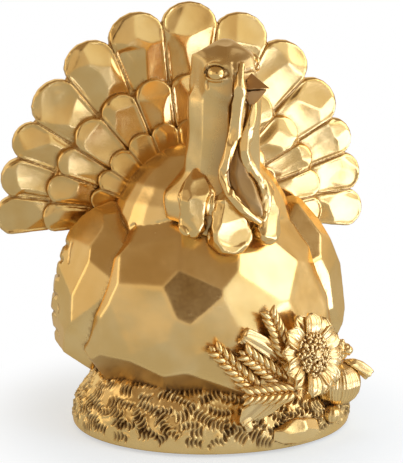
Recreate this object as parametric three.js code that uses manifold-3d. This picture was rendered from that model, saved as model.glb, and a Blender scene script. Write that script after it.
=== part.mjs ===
// A gilded thanksgiving turkey: flat-faceted castings bonded together on an oval hay mound.
// Millimetres, +Z up, the bird faces -Y. The origin is on the felt's underside, below the body.
// Bearings are degrees round from the front, positive towards the bird's left; lifts are above level.

import * as THREE from "three";
import { mergeVertices } from "three/addons/utils/BufferGeometryUtils.js";
import Module from "manifold-3d";

const wasm = await Module();
wasm.setup();

// Bonding
const GLUE_FILM = 0.3;
const PEG_RADIUS = 4;
const PEG_DEPTH = 9;

// Felt and base
const FELT_THICKNESS = 1.2;
const FELT_INSET = 5;
const BASE_MIDDLE_X = 5;
const BASE_HALF_WIDTH = 79;
const BASE_HALF_DEPTH = 63;
const BASE_HEIGHT = 32;
const BASE_RIM_HEIGHT = 4;
const BASE_RIM_INSET = 2;
const BASE_SQUARENESS = 3;

// Body and upper back
const BODY_HALF_WIDTH = 70.5;
const BODY_HALF_DEPTH = 54.5;
const BODY_RISE = 77;
const BODY_DROP = 74;
const BODY_SINK = 12;
const BODY_MIDDLE_ABOVE_BASE = 20.5;
const BACK_HALF_WIDTH = 52;
const BACK_HALF_DEPTH = 40;
const BACK_RISE = 53;
const BACK_MIDDLE_Y = 12;
const BACK_MIDDLE_Z = 105;

// Wings
const WING_HALF_THICKNESS = 20;
const WING_HALF_DEPTH = 34;
const WING_HALF_HEIGHT = 42;
const WING_MIDDLE_X = 59;
const WING_MIDDLE_Y = 17;
const WING_MIDDLE_Z = 79;
const WING_LEAN = 14;

// Neck and head
const NECK_MIDDLE_X = 2;
const NECK_FORWARD = 22;
const NECK_HALF_WIDTH = 21;
const NECK_HALF_DEPTH = 20;
const NECK_FOOT_HALF_WIDTH = 33;
const NECK_FOOT_HALF_DEPTH = 27;
const NECK_FOOT_Z = 136;
const NECK_FLARE_Z = 149;
const NECK_JAW_Z = 190;
const NECK_TOP_Z = 202;
const HEAD_HALF_WIDTH = 16;
const HEAD_HALF_DEPTH = 21;
const HEAD_RISE = 22.5;
const HEAD_DROP = 24;
const HEAD_MIDDLE_Z = 200;
const HEAD_SHIFT_X = -0.5;
const BEAK_BEARING = 30;
const BEAK_LIFT = 6;
const BEAK_HALF_WIDTH = 20;
const BEAK_HALF_HEIGHT = 19;
const BEAK_LENGTH = 38;
const EYE_RADIUS = 5.2;
const EYE_LIFT = 16;
const RIGHT_EYE_BEARING = -28;
const LEFT_EYE_BEARING = 118;
const LOBE_THICKNESS = 14;
const LOBE_BEVEL_WIDTH = 2.4;
const LOBE_BEVEL_HEIGHT = 1.8;
const LOBE_LEAN = 9;
const LOBE_SIDES = 14;
const RIGHT_LOBE = { x: -22, z: -6.5, proud: -7, halfWidth: 7.5, halfHeight: 11.5, bearing: -24 };
const MIDDLE_LOBE = { x: -0.5, z: -9.5, proud: -3, halfWidth: 11.4, halfHeight: 18, bearing: 2 };
const LEFT_LOBE = { x: 21.5, z: -12.5, proud: -7.5, halfWidth: 7.4, halfHeight: 11.5, bearing: 24 };

// Tail fan
const TAIL_CENTRE_X = -3;
const TAIL_CENTRE_Z = 109;
const TAIL_TURN = 0.8;
const TAIL_FRONT_Y = 33;
const TAIL_SIDE_LENGTH = 107.5;
const TAIL_EXTRA_TOP_LENGTH = 14.5;
const TAIL_MIDDLE_LENGTH = 82;
const TAIL_INNER_LENGTH = 57;
const TAIL_START = 24;
const TAIL_WIDE_PITCH = 16.4;
const TAIL_NARROW_PITCH = 12.6;
const TAIL_WIDE_PAIRS = 3;
const TAIL_PAIRS = 6;
const TAIL_GROOVE = 0.5;
const TAIL_TIP_BULGE = 0.8;
const OUTER_THICKNESS = 8;
const MIDDLE_THICKNESS = 4;
const INNER_THICKNESS = 4;

// Harvest bunch
const PETAL_COUNT = 13;
const PETAL_REACH = 21;
const PETAL_HALF_WIDTH = 5;
const PETAL_THICKNESS = 1.7;
const CALYX_RADIUS = 10.4;
const CALYX_THICKNESS = 5;
const DISC_RADIUS = 9.6;
const DISC_RISE = 5;
const PUMPKIN_RADIUS = 14;
const PUMPKIN_RIBS = 9;
const KERNEL_PAIRS = 6;
const EAR_HALF_WIDTH = 7;
const UPRIGHT_EAR_HALF_WIDTH = 6;
const HUSK_HALF_WIDTH = 5.6;
const HUSK_HALF_THICKNESS = 3.6;
const LEAF_HALF_WIDTH = 6;
const LEAF_HALF_THICKNESS = 2.4;
const BERRY_RADIUS = 3.4;
const BERRY_PLACES = [
  [0, 0, 2.6], [3.4, -1.8, 0], [-2.6, -3, 0.4], [-3.2, 2, -0.2], [2.4, 3, -0.6], [0.2, -0.4, -3.4],
];

// Places that follow from the sizes above
const BASE_FLOOR_Z = FELT_THICKNESS + GLUE_FILM;
const BASE_TOP_Z = BASE_FLOOR_Z + BASE_HEIGHT;
const BODY_MIDDLE = new THREE.Vector3(0, -2, BASE_TOP_Z + BODY_MIDDLE_ABOVE_BASE);
const MIDDLE_FRONT_Y = TAIL_FRONT_Y + INNER_THICKNESS + GLUE_FILM;
const OUTER_FRONT_Y = MIDDLE_FRONT_Y + MIDDLE_THICKNESS + GLUE_FILM;
const TAIL_BACK_Y = OUTER_FRONT_Y + OUTER_THICKNESS;
const HEAD_MIDDLE = new THREE.Vector3(NECK_MIDDLE_X + HEAD_SHIFT_X, -NECK_FORWARD - 1, HEAD_MIDDLE_Z);

const BODY_EGG = {
  middle: BODY_MIDDLE,
  halfWidth: BODY_HALF_WIDTH,
  halfDepth: BODY_HALF_DEPTH,
  rise: BODY_RISE,
  drop: BODY_DROP,
};
const HEAD_EGG = {
  middle: HEAD_MIDDLE,
  halfWidth: HEAD_HALF_WIDTH,
  halfDepth: HEAD_HALF_DEPTH,
  rise: HEAD_RISE,
  drop: HEAD_DROP,
};

// Chisel cuts, each a bearing and a lift
const BODY_FRONT_CUTS = [
  [-52, 23], [-31, 27], [-15, 18], [-14, 34], [-37, 11], [-67, 11], [-38, -3], [-10, -2],
  [-76, -16], [-53, -21], [-24, -15], [-2, 24], [11, 26], [13, 14], [29, 25], [45, 31],
  [37, 12], [-3, 9], [20, -3], [1, -15], [28, -18], [52, -3], [60, 14], [58, -24],
];
const HEAD_CUTS = [
  [-28, 6], [-76, 4], [-52, 36], [-6, 42], [32, 30], [44, 62], [-70, 66], [26, -2], [78, 8], [84, 42],
  [130, 4], [126, 46], [180, 0], [178, 44], [-126, 4], [-130, 44], [-42, -28], [8, -34], [70, -28], [0, 88],
  [130, -36], [190, -36], [-104, -34], [0, -80],
];
const WING_CUTS = [
  [92, 2], [88, 38], [94, -36], [48, 12], [54, -26], [58, 52], [14, 4], [20, 38], [24, -44],
  [126, 18], [130, -20], [122, 54], [162, 2], [158, -38], [156, 42], [90, 76], [90, -72], [-90, 0],
];

// Rows of chisel cuts, each a lift, a first bearing, a last bearing and a count
const BODY_CUT_ROWS = [
  [12, 82, 282, 9], [-18, 86, 274, 8], [38, 70, 300, 8], [62, 0, 300, 6], [-48, 0, 315, 8],
];
const RUMP_CUT_ROWS = [[4, 60, 300, 9], [36, 100, 260, 5], [-34, 90, 270, 6], [66, 90, 270, 3]];

// Hanging folds of the face, each station x, y and z from the middle of the head
const SNOOD_PATH = [[4.5, -16, 11], [4, -20, 5.5], [2.9, -21.5, -1], [2.3, -22.5, -8], [1.8, -23, -15]];
const WATTLE_RIGHT_PATH = [
  [2.4, -21, -9], [1.1, -22.5, -21], [-1.3, -23.5, -34.6], [-3.4, -24.5, -45], [-0.6, -26, -56.5],
  [6.5, -27.5, -66.6], [12.4, -28, -72],
];
const WATTLE_LEFT_PATH = [
  [9.4, -20, -9], [8.6, -22, -20], [7.5, -23.5, -30.5], [11.3, -25, -42.8], [15, -26.5, -54.6],
  [16, -28, -64.2], [13.6, -29, -71.5],
];

/** Unit vector along a bearing and a lift. */
function direction(bearing, lift) {
  const turn = THREE.MathUtils.degToRad(bearing);
  const tilt = THREE.MathUtils.degToRad(lift);
  const level = Math.cos(tilt);
  return new THREE.Vector3(Math.sin(turn) * level, -Math.cos(turn) * level, Math.sin(tilt));
}

/** A closed geometry as a solid that can be cut and joined. */
function solidFrom(geometry) {
  const bare = geometry.clone();
  bare.deleteAttribute("normal");
  bare.deleteAttribute("uv");
  const merged = mergeVertices(bare, 1e-4);
  const corners = merged.index.array;
  const kept = [];
  for (let i = 0; i < corners.length; i += 3) {
    const [a, b, c] = [corners[i], corners[i + 1], corners[i + 2]];
    if (a !== b && b !== c && c !== a) kept.push(a, b, c);
  }
  return new wasm.Manifold(new wasm.Mesh({
    numProp: 3,
    vertProperties: new Float32Array(merged.attributes.position.array),
    triVerts: new Uint32Array(kept),
  }));
}

/** A solid as a three.js geometry. */
function geometryFrom(solid) {
  const mesh = solid.getMesh();
  const geometry = new THREE.BufferGeometry();
  geometry.setAttribute("position", new THREE.BufferAttribute(new Float32Array(mesh.vertProperties), 3));
  geometry.setIndex(new THREE.BufferAttribute(new Uint32Array(mesh.triVerts), 1));
  geometry.computeVertexNormals();
  return geometry;
}

/** The largest body of a cut solid; offcuts fall away. */
function mainBody(solid) {
  return solid.decompose().reduce((best, next) => (next.volume() > best.volume() ? next : best));
}

/** All the solids joined into one. */
function joined(solids) {
  return solids.reduce((whole, next) => whole.add(next));
}

/** A piece cut back from every piece it is bonded to, leaving the adhesive's thickness. */
function bonded(form, carriers) {
  return mainBody(carriers.reduce((rest, carrier) => rest.subtract(carrier(GLUE_FILM)), form(0)));
}

/** A solid moved from its own axes to a place, its x, y and z along the three given directions. */
function placed(solid, place, xAxis, yAxis, zAxis) {
  return solid.transform(new THREE.Matrix4().makeBasis(xAxis, yAxis, zAxis).setPosition(place).elements);
}

/** Keeps the side of a plane that the direction points away from. */
function chisel(solid, outward, reach) {
  return solid.trimByPlane(outward.clone().negate().toArray(), -reach);
}

/** An egg block with one flat cut square to each bearing and lift. */
function carvedEgg(egg, cuts, grow) {
  const span = 4 * Math.max(egg.halfWidth, egg.halfDepth, egg.rise, egg.drop);
  const block = new THREE.BoxGeometry(span, span, span).translate(...egg.middle.toArray());
  return cuts.reduce((solid, [bearing, lift]) => {
    const out = direction(bearing, lift);
    const tall = out.z > 0 ? egg.rise : egg.drop;
    const reach = Math.hypot(egg.halfWidth * out.x, egg.halfDepth * out.y, tall * out.z);
    return chisel(solid, out, out.dot(egg.middle) + reach + grow);
  }, solidFrom(block));
}

/** Evenly spaced cuts at one lift. */
function cutRow(lift, first, last, count) {
  return Array.from({ length: count }, (_, i) => [first + ((last - first) * i) / (count - 1), lift]);
}

/** A smooth ball stretched to three half sizes. */
function ball(middle, halfX, halfY, halfZ, sides, rows) {
  const geometry = new THREE.SphereGeometry(1, sides, rows).rotateX(Math.PI / 2);
  return solidFrom(geometry.scale(halfX, halfY, halfZ).translate(...middle.toArray()));
}

/** A closed skin through rings of points, capped flat at both ends. */
function loft(rings) {
  const sides = rings[0].length;
  const points = rings.flat();
  const corners = [];
  for (let row = 0; row + 1 < rings.length; row += 1) {
    for (let side = 0; side < sides; side += 1) {
      const next = (side + 1) % sides;
      const [a, b] = [row * sides + side, row * sides + next];
      corners.push(a, b, b + sides, a, b + sides, a + sides);
    }
  }
  const last = (rings.length - 1) * sides;
  for (let side = 1; side + 1 < sides; side += 1) {
    corners.push(0, side + 1, side, last, last + side, last + side + 1);
  }
  const geometry = new THREE.BufferGeometry().setFromPoints(points);
  geometry.setIndex(corners);
  return solidFrom(geometry);
}

/** An oval section carried along a smooth path; size(t) gives its half width and half thickness. */
function sweep(stations, across, size, sides, steps) {
  const path = new THREE.CatmullRomCurve3(stations);
  const rings = Array.from({ length: steps + 1 }, (_, step) => {
    const t = step / steps;
    const place = path.getPoint(t);
    const along = path.getTangent(t);
    const wide = across.clone().addScaledVector(along, -across.dot(along)).normalize();
    const thick = along.clone().cross(wide);
    const [halfWidth, halfThickness] = size(t);
    return Array.from({ length: sides }, (__, side) => {
      const turn = ((side + 0.5) / sides) * 2 * Math.PI;
      return place.clone()
        .addScaledVector(wide, halfWidth * Math.cos(turn))
        .addScaledVector(thick, halfThickness * Math.sin(turn));
    });
  });
  return loft(rings);
}

/** A round rod between two points. */
function rod(from, to, radius) {
  const across = Math.abs(to.clone().sub(from).normalize().z) < 0.9 ? [0, 0, 1] : [1, 0, 0];
  return sweep([from, to], new THREE.Vector3(...across), () => [radius, radius], 16, 1);
}

/** A number between 0 and 1 that differs from piece to piece but never changes. */
function variation(piece, feature) {
  const wave = Math.sin(piece * 12.9898 + feature * 78.233) * 43758.5453;
  return wave - Math.floor(wave);
}

/** A point standing proud of the body's smooth egg at a bearing and a height. */
function onBody(bearing, height, proud) {
  const out = direction(bearing, 0);
  const rise = height - BODY_MIDDLE.z;
  const shrink = Math.sqrt(Math.max(0.04, 1 - (rise / (rise > 0 ? BODY_RISE : BODY_DROP)) ** 2));
  const radius = shrink / Math.hypot(out.x / BODY_HALF_WIDTH, out.y / BODY_HALF_DEPTH);
  return new THREE.Vector3(BODY_MIDDLE.x, BODY_MIDDLE.y, height).addScaledVector(out, radius + proud);
}

/** A point standing proud of the base's edge at a bearing and a height. */
function onBase(bearing, height, proud) {
  const out = direction(bearing, 0);
  const radius = 1 / Math.hypot(out.x / BASE_HALF_WIDTH, out.y / BASE_HALF_DEPTH);
  return new THREE.Vector3(BASE_MIDDLE_X, 0, height).addScaledVector(out, radius + proud);
}

// Felt and base

function feltPad() {
  const inset = BASE_RIM_INSET + FELT_INSET;
  const outline = new THREE.Shape();
  outline.absellipse(BASE_MIDDLE_X, 0, BASE_HALF_WIDTH - inset, BASE_HALF_DEPTH - inset, 0, 2 * Math.PI);
  return solidFrom(new THREE.ExtrudeGeometry(outline, {
    depth: FELT_THICKNESS,
    bevelEnabled: false,
    curveSegments: 20,
  }));
}

function baseMound(grow) {
  const radius = BASE_HALF_WIDTH + grow;
  const rim = BASE_FLOOR_Z + BASE_RIM_HEIGHT;
  const shoulder = BASE_TOP_Z + grow - rim;
  const profile = [
    new THREE.Vector2(0, BASE_FLOOR_Z),
    new THREE.Vector2(radius - BASE_RIM_INSET, BASE_FLOOR_Z),
  ];
  const steps = 7;
  for (let step = 0; step <= steps; step += 1) {
    const turn = (step / steps) * (Math.PI / 2);
    const across = Math.cos(turn) ** (2 / BASE_SQUARENESS);
    const upward = Math.sin(turn) ** (2 / BASE_SQUARENESS);
    profile.push(new THREE.Vector2(step === steps ? 0 : radius * across, rim + shoulder * upward));
  }
  const mound = new THREE.LatheGeometry(profile, 44).rotateX(Math.PI / 2);
  return solidFrom(mound.scale(1, (BASE_HALF_DEPTH + grow) / radius, 1).translate(BASE_MIDDLE_X, 0, 0));
}

// Body, back and wings

function bodyForm(grow) {
  const cuts = [...BODY_FRONT_CUTS, ...BODY_CUT_ROWS.flatMap((row) => cutRow(...row)), [0, 86]];
  const carved = carvedEgg(BODY_EGG, cuts, grow);
  return chisel(carved, new THREE.Vector3(0, 0, -1), BODY_SINK - BASE_TOP_Z + grow);
}

function backForm(grow) {
  const middle = new THREE.Vector3(0, BACK_MIDDLE_Y, BACK_MIDDLE_Z);
  const arch = ball(middle, BACK_HALF_WIDTH + grow, BACK_HALF_DEPTH + grow, BACK_RISE + grow, 28, 14);
  return chisel(arch, new THREE.Vector3(0, 1, 0), TAIL_FRONT_Y - GLUE_FILM + grow);
}

function tailTenon(grow) {
  const height = TAIL_CENTRE_Z + TAIL_START + PEG_RADIUS;
  const front = new THREE.Vector3(TAIL_CENTRE_X, TAIL_FRONT_Y - PEG_DEPTH - grow, height);
  const back = front.clone().setY(TAIL_FRONT_Y + INNER_THICKNESS / 2);
  return rod(front, back, PEG_RADIUS + grow);
}

function wingPeg(side, grow) {
  const outside = onBody(side * 90, WING_MIDDLE_Z, 5);
  outside.y = BODY_MIDDLE.y;
  const inside = outside.clone();
  inside.x -= side * (PEG_DEPTH + 5 + grow);
  return rod(inside, outside, PEG_RADIUS + grow);
}

function wingForm(side, grow) {
  const egg = {
    middle: new THREE.Vector3(0, 0, 0),
    halfWidth: WING_HALF_THICKNESS,
    halfDepth: WING_HALF_DEPTH,
    rise: WING_HALF_HEIGHT,
    drop: WING_HALF_HEIGHT,
  };
  const cuts = WING_CUTS.map(([bearing, lift]) => [side * bearing, lift]);
  const carved = carvedEgg(egg, cuts, grow).rotate([0, -side * WING_LEAN, 0]);
  return carved.translate([side * WING_MIDDLE_X, WING_MIDDLE_Y, WING_MIDDLE_Z]);
}

/** The room the tail takes behind its front plane, from the lowest feathers' edge upwards. */
function tailRoom(grow) {
  const span = 2 * (TAIL_SIDE_LENGTH + TAIL_EXTRA_TOP_LENGTH);
  const sag = TAIL_SIDE_LENGTH * Math.sin(THREE.MathUtils.degToRad(tailEdge(TAIL_PAIRS) + TAIL_TURN - 90));
  const floor = TAIL_CENTRE_Z - sag - grow;
  const room = new THREE.BoxGeometry(2 * span, span, span);
  return solidFrom(room.translate(0, TAIL_FRONT_Y - grow + span / 2, floor + span / 2));
}

// Neck, head and face

function neckForm(grow) {
  const low = BODY_MIDDLE.z + BODY_RISE / 2;
  const stations = [
    [low, NECK_FOOT_HALF_WIDTH - 4, NECK_FOOT_HALF_DEPTH - 6, 8],
    [NECK_FOOT_Z, NECK_FOOT_HALF_WIDTH, NECK_FOOT_HALF_DEPTH, 6],
    [NECK_FLARE_Z, NECK_HALF_WIDTH + 0.5, NECK_HALF_DEPTH + 1.5, 2],
    [(NECK_FLARE_Z + NECK_JAW_Z) / 2, NECK_HALF_WIDTH - 0.5, NECK_HALF_DEPTH, 0],
    [NECK_JAW_Z, NECK_HALF_WIDTH - 0.5, NECK_HALF_DEPTH - 1, 0],
    [NECK_TOP_Z + grow, NECK_HALF_WIDTH - 6.5, NECK_HALF_DEPTH - 7, 0],
  ];
  const sides = 10;
  return loft(stations.map(([z, halfWidth, halfDepth, back]) => Array.from({ length: sides }, (_, side) => {
    const turn = ((side + 0.2) / sides) * 2 * Math.PI;
    const x = NECK_MIDDLE_X + (halfWidth + grow) * Math.cos(turn);
    const y = back - NECK_FORWARD + (halfDepth + grow) * Math.sin(turn);
    return new THREE.Vector3(x, y, z);
  })));
}

function neckPeg(grow) {
  const y = -NECK_FORWARD - 4;
  const shoulder = BODY_MIDDLE.z + BODY_RISE * Math.sqrt(1 - ((y - BODY_MIDDLE.y) / BODY_HALF_DEPTH) ** 2);
  const low = new THREE.Vector3(NECK_MIDDLE_X, y, shoulder - PEG_DEPTH - grow);
  return rod(low, low.clone().setZ(Math.max(shoulder, NECK_FLARE_Z) + PEG_RADIUS), PEG_RADIUS + grow);
}

function headForm(grow) {
  return carvedEgg(HEAD_EGG, HEAD_CUTS, grow);
}

/** Upper and lower halves of a four-sided beak, parted by the adhesive's thickness. */
function beakForm(half, grow) {
  const along = direction(BEAK_BEARING, BEAK_LIFT);
  const across = new THREE.Vector3(0, 0, 1).cross(along).normalize();
  const upward = along.clone().cross(across);
  const shorter = half > 0 ? 0 : 3;
  const length = BEAK_LENGTH - shorter + 2 * grow;
  const cone = new THREE.ConeGeometry(1, length, 4).translate(0, length / 2, 0);
  const wide = BEAK_HALF_WIDTH - shorter / 4 + grow;
  const tall = BEAK_HALF_HEIGHT - shorter / 4 + grow;
  const pyramid = solidFrom(cone.scale(wide, 1, tall));
  const whole = placed(pyramid, HEAD_MIDDLE, upward.clone().cross(along), along, upward);
  const parting = upward.clone().multiplyScalar(-half);
  return chisel(whole, parting, parting.dot(HEAD_MIDDLE) - GLUE_FILM / 2 + grow);
}

function eyeForm(bearing, grow) {
  const out = direction(bearing, EYE_LIFT);
  const reach = Math.hypot(HEAD_HALF_WIDTH * out.x, HEAD_HALF_DEPTH * out.y, HEAD_RISE * out.z);
  const middle = HEAD_MIDDLE.clone().addScaledVector(out, reach - 1.4);
  return ball(middle, EYE_RADIUS + grow, EYE_RADIUS + grow, EYE_RADIUS * 0.86 + grow, 16, 10);
}

/** A soft hanging fold along stations counted from the middle of the head. */
function foldForm(stations, size, grow) {
  const path = stations.map((station) => new THREE.Vector3(...station).add(HEAD_MIDDLE));
  const across = new THREE.Vector3(1, 0, 0);
  return sweep(path, across, (t) => size(t).map((half) => half + grow), 8, 12);
}

function snoodForm(grow) {
  return foldForm(SNOOD_PATH, (t) => [2 + Math.sin(Math.PI * t), 2], grow);
}

function wattleRightForm(grow) {
  return foldForm(WATTLE_RIGHT_PATH, (t) => [1.8 + 2.4 * Math.sin(Math.PI * t ** 1.3), 3.6 - t], grow);
}

function wattleLeftForm(grow) {
  return foldForm(WATTLE_LEFT_PATH, (t) => [1.6 + 2 * Math.sin(Math.PI * (0.2 + 0.8 * t)), 3.8 - t], grow);
}

/** A flat shield on the breast, its point up and its rim bevelled, turned to a bearing. */
function lobeForm(lobe, grow) {
  const front = NECK_FORWARD + NECK_FOOT_HALF_DEPTH + lobe.proud;
  const middle = new THREE.Vector3(NECK_MIDDLE_X + lobe.x, -front, NECK_FOOT_Z + lobe.z);
  const ring = (inset, depth) => Array.from({ length: LOBE_SIDES }, (_, side) => {
    const turn = (side / LOBE_SIDES) * 2 * Math.PI;
    const across = 1.3 * Math.sin(turn) * Math.sin(turn / 2);
    const x = -(lobe.halfWidth - inset + grow) * across;
    return new THREE.Vector3(x, -depth, (lobe.halfHeight - inset + grow) * Math.cos(turn));
  });
  const shield = loft([
    ring(0, -LOBE_THICKNESS - grow),
    ring(0, grow),
    ring(LOBE_BEVEL_WIDTH, LOBE_BEVEL_HEIGHT + grow),
  ]);
  return shield.rotate([-LOBE_LEAN, 0, lobe.bearing]).translate(middle.toArray());
}

// Tail

/** The angle from upright of the middle of a feather, counted from the top one. */
function tailAngle(place) {
  const count = Math.abs(place);
  const wide = Math.min(count, TAIL_WIDE_PAIRS) * TAIL_WIDE_PITCH;
  const narrow = Math.max(0, count - TAIL_WIDE_PAIRS) * TAIL_NARROW_PITCH;
  const step = narrow > 0 ? (TAIL_WIDE_PITCH - TAIL_NARROW_PITCH) / 2 : 0;
  return Math.sign(place) * (wide + step + narrow);
}

function tailPitch(place) {
  return Math.abs(place) > TAIL_WIDE_PAIRS ? TAIL_NARROW_PITCH : TAIL_WIDE_PITCH;
}

/** The angle from upright of a feather's outer side. */
function tailEdge(place) {
  return Math.abs(tailAngle(place)) + tailPitch(place) / 2;
}

function outerLength(place) {
  const upright = Math.cos(THREE.MathUtils.degToRad(tailAngle(place)));
  return TAIL_SIDE_LENGTH + TAIL_EXTRA_TOP_LENGTH * Math.max(0, upright) ** 3;
}

/** A paddle with a round tip, its length along y and its front towards z, before it is faceted. */
function featherBlank(place, start, length, thickness) {
  const spread = Math.tan(THREE.MathUtils.degToRad(tailPitch(place) / 2));
  const side = (along) => along * spread - TAIL_GROOVE / 2;
  const shoulder = length / (1 + TAIL_TIP_BULGE * spread);
  const bulge = length - shoulder;
  const outline = [new THREE.Vector2(side(start), start)];
  const steps = 8;
  for (let step = 0; step <= steps; step += 1) {
    const turn = Math.PI * (step / steps);
    outline.push(new THREE.Vector2(side(shoulder) * Math.cos(turn), shoulder + bulge * Math.sin(turn)));
  }
  outline.push(new THREE.Vector2(-side(start), start));
  const shape = new THREE.Shape(outline);
  return solidFrom(new THREE.ExtrudeGeometry(shape, { depth: thickness, bevelEnabled: false }));
}

/** Facets on one broad face of a feather: two across the tip and one down each side, gently tilted. */
function featherCuts(solid, place, from, length, thickness, face) {
  const seed = place + TAIL_PAIRS + face * 31;
  const halfWidth = length * Math.tan(THREE.MathUtils.degToRad(tailPitch(place) / 2));
  const level = face > 0 ? thickness : 0;
  const cuts = [
    [-0.5 + 0.3 * variation(seed, 1), 1, 7 + 5 * variation(seed, 2), -0.25, 0.62],
    [0.6, 0.8, 6 + 5 * variation(seed, 3), 0.3, 0.55 + 0.2 * variation(seed, 4)],
    [-1, -0.3, 5 + 5 * variation(seed, 5), -0.35, 0.3],
    [1, -0.4, 5 + 5 * variation(seed, 6), 0.35, 0.25],
  ];
  return cuts.reduce((rest, [x, y, tilt, across, along]) => {
    const lean = THREE.MathUtils.degToRad(tilt);
    const flat = new THREE.Vector2(x, y).normalize().multiplyScalar(Math.sin(lean));
    const out = new THREE.Vector3(flat.x, flat.y, face * Math.cos(lean));
    const through = new THREE.Vector3(across * halfWidth, from + along * (length - from), level);
    return chisel(rest, out, out.dot(through));
  }, solid);
}

/** A feather stood in the fan at its own angle, its back on the given plane. */
function inFan(solid, place, backY) {
  const turn = THREE.MathUtils.degToRad(tailAngle(place) + TAIL_TURN);
  const across = new THREE.Vector3(Math.cos(turn), 0, -Math.sin(turn));
  const along = new THREE.Vector3(Math.sin(turn), 0, Math.cos(turn));
  const centre = new THREE.Vector3(TAIL_CENTRE_X, backY, TAIL_CENTRE_Z);
  return placed(solid, centre, across, along, new THREE.Vector3(0, -1, 0));
}

function outerFeather(place) {
  const length = outerLength(place);
  const blank = featherBlank(place, TAIL_START, length, OUTER_THICKNESS);
  const front = featherCuts(blank, place, TAIL_MIDDLE_LENGTH, length, OUTER_THICKNESS, 1);
  const both = featherCuts(front, place, TAIL_MIDDLE_LENGTH, length, OUTER_THICKNESS, -1);
  return inFan(both, place, TAIL_BACK_Y);
}

function middleFeather(place) {
  const blank = featherBlank(place, TAIL_START, TAIL_MIDDLE_LENGTH, MIDDLE_THICKNESS);
  const cut = featherCuts(blank, place, TAIL_INNER_LENGTH, TAIL_MIDDLE_LENGTH, MIDDLE_THICKNESS, 1);
  return inFan(cut, place, MIDDLE_FRONT_Y + MIDDLE_THICKNESS);
}

function tailRoot(places) {
  const feathers = places.map((place) => {
    const blank = featherBlank(place, TAIL_START, TAIL_INNER_LENGTH, INNER_THICKNESS);
    return inFan(featherCuts(blank, place, TAIL_START, TAIL_INNER_LENGTH, INNER_THICKNESS, 1), place,
      TAIL_FRONT_Y + INNER_THICKNESS);
  });
  const reach = TAIL_START + 8;
  const hub = new THREE.Shape();
  const low = THREE.MathUtils.degToRad(90 - tailEdge(TAIL_PAIRS));
  hub.absarc(0, 0, reach, low, Math.PI - low, false);
  const plate = new THREE.ExtrudeGeometry(hub, {
    depth: INNER_THICKNESS,
    bevelEnabled: false,
    curveSegments: 14,
  });
  return joined([...feathers, inFan(solidFrom(plate), 0, TAIL_FRONT_Y + INNER_THICKNESS)]);
}

function rumpForm(grow) {
  const middle = new THREE.Vector3(TAIL_CENTRE_X, TAIL_BACK_Y - 6, TAIL_CENTRE_Z - 8);
  const egg = { middle, halfWidth: TAIL_START + 10, halfDepth: 17, rise: TAIL_START + 14, drop: 56 };
  const cuts = [...RUMP_CUT_ROWS.flatMap((row) => cutRow(...row)), [180, -62], [0, 0]];
  return chisel(carvedEgg(egg, cuts, grow), new THREE.Vector3(0, -1, 0), -TAIL_BACK_Y - GLUE_FILM + grow);
}

// Harvest bunch

const FLOWER_FACING = direction(30, 16);
const FLOWER_ACROSS = new THREE.Vector3(0, 0, 1).cross(FLOWER_FACING).normalize();
const FLOWER_UPWARD = FLOWER_FACING.clone().cross(FLOWER_ACROSS);
const FLOWER_PLACE = onBody(40, BASE_TOP_Z + 18.5, 6);

function inFlower(solid) {
  return placed(solid, FLOWER_PLACE, FLOWER_ACROSS, FLOWER_UPWARD, FLOWER_FACING);
}

function petal(turn, grow) {
  const out = new THREE.Vector3(Math.cos(turn), Math.sin(turn), 0);
  const across = new THREE.Vector3(-Math.sin(turn), Math.cos(turn), 0);
  const root = CALYX_THICKNESS / 2;
  const heights = [root, root + 2, root + 2.5, root - 1];
  const reaches = [CALYX_RADIUS - 3, CALYX_RADIUS + 3, PETAL_REACH - 5, PETAL_REACH];
  const stations = reaches.map((reach, i) => out.clone().multiplyScalar(reach).setZ(heights[i]));
  const fullness = (t) => Math.sin(Math.PI * (0.2 + 0.74 * t)) ** 0.6;
  const size = (t) => [PETAL_HALF_WIDTH * fullness(t) + grow, PETAL_THICKNESS / 2 + grow];
  return sweep(stations, across, size, 6, 5);
}

function petalsForm(grow) {
  const calyx = rod(
    new THREE.Vector3(0, 0, -grow),
    new THREE.Vector3(0, 0, CALYX_THICKNESS + grow),
    CALYX_RADIUS - 0.6 + grow,
  );
  const stalk = rod(
    new THREE.Vector3(0, -3, -16 - grow),
    new THREE.Vector3(0, 0, 1),
    PEG_RADIUS + grow,
  );
  const petals = Array.from({ length: PETAL_COUNT }, (_, i) => petal((i / PETAL_COUNT) * 2 * Math.PI, grow));
  return inFlower(joined([calyx, stalk, ...petals]));
}

function discForm(grow) {
  const sink = CALYX_THICKNESS / 2.5;
  const floor = CALYX_THICKNESS - sink;
  const radius = DISC_RADIUS + grow;
  const dome = ball(new THREE.Vector3(0, 0, floor), radius, radius, DISC_RISE + sink + grow, 20, 10);
  return inFlower(chisel(dome, new THREE.Vector3(0, 0, -1), grow - floor));
}

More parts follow.
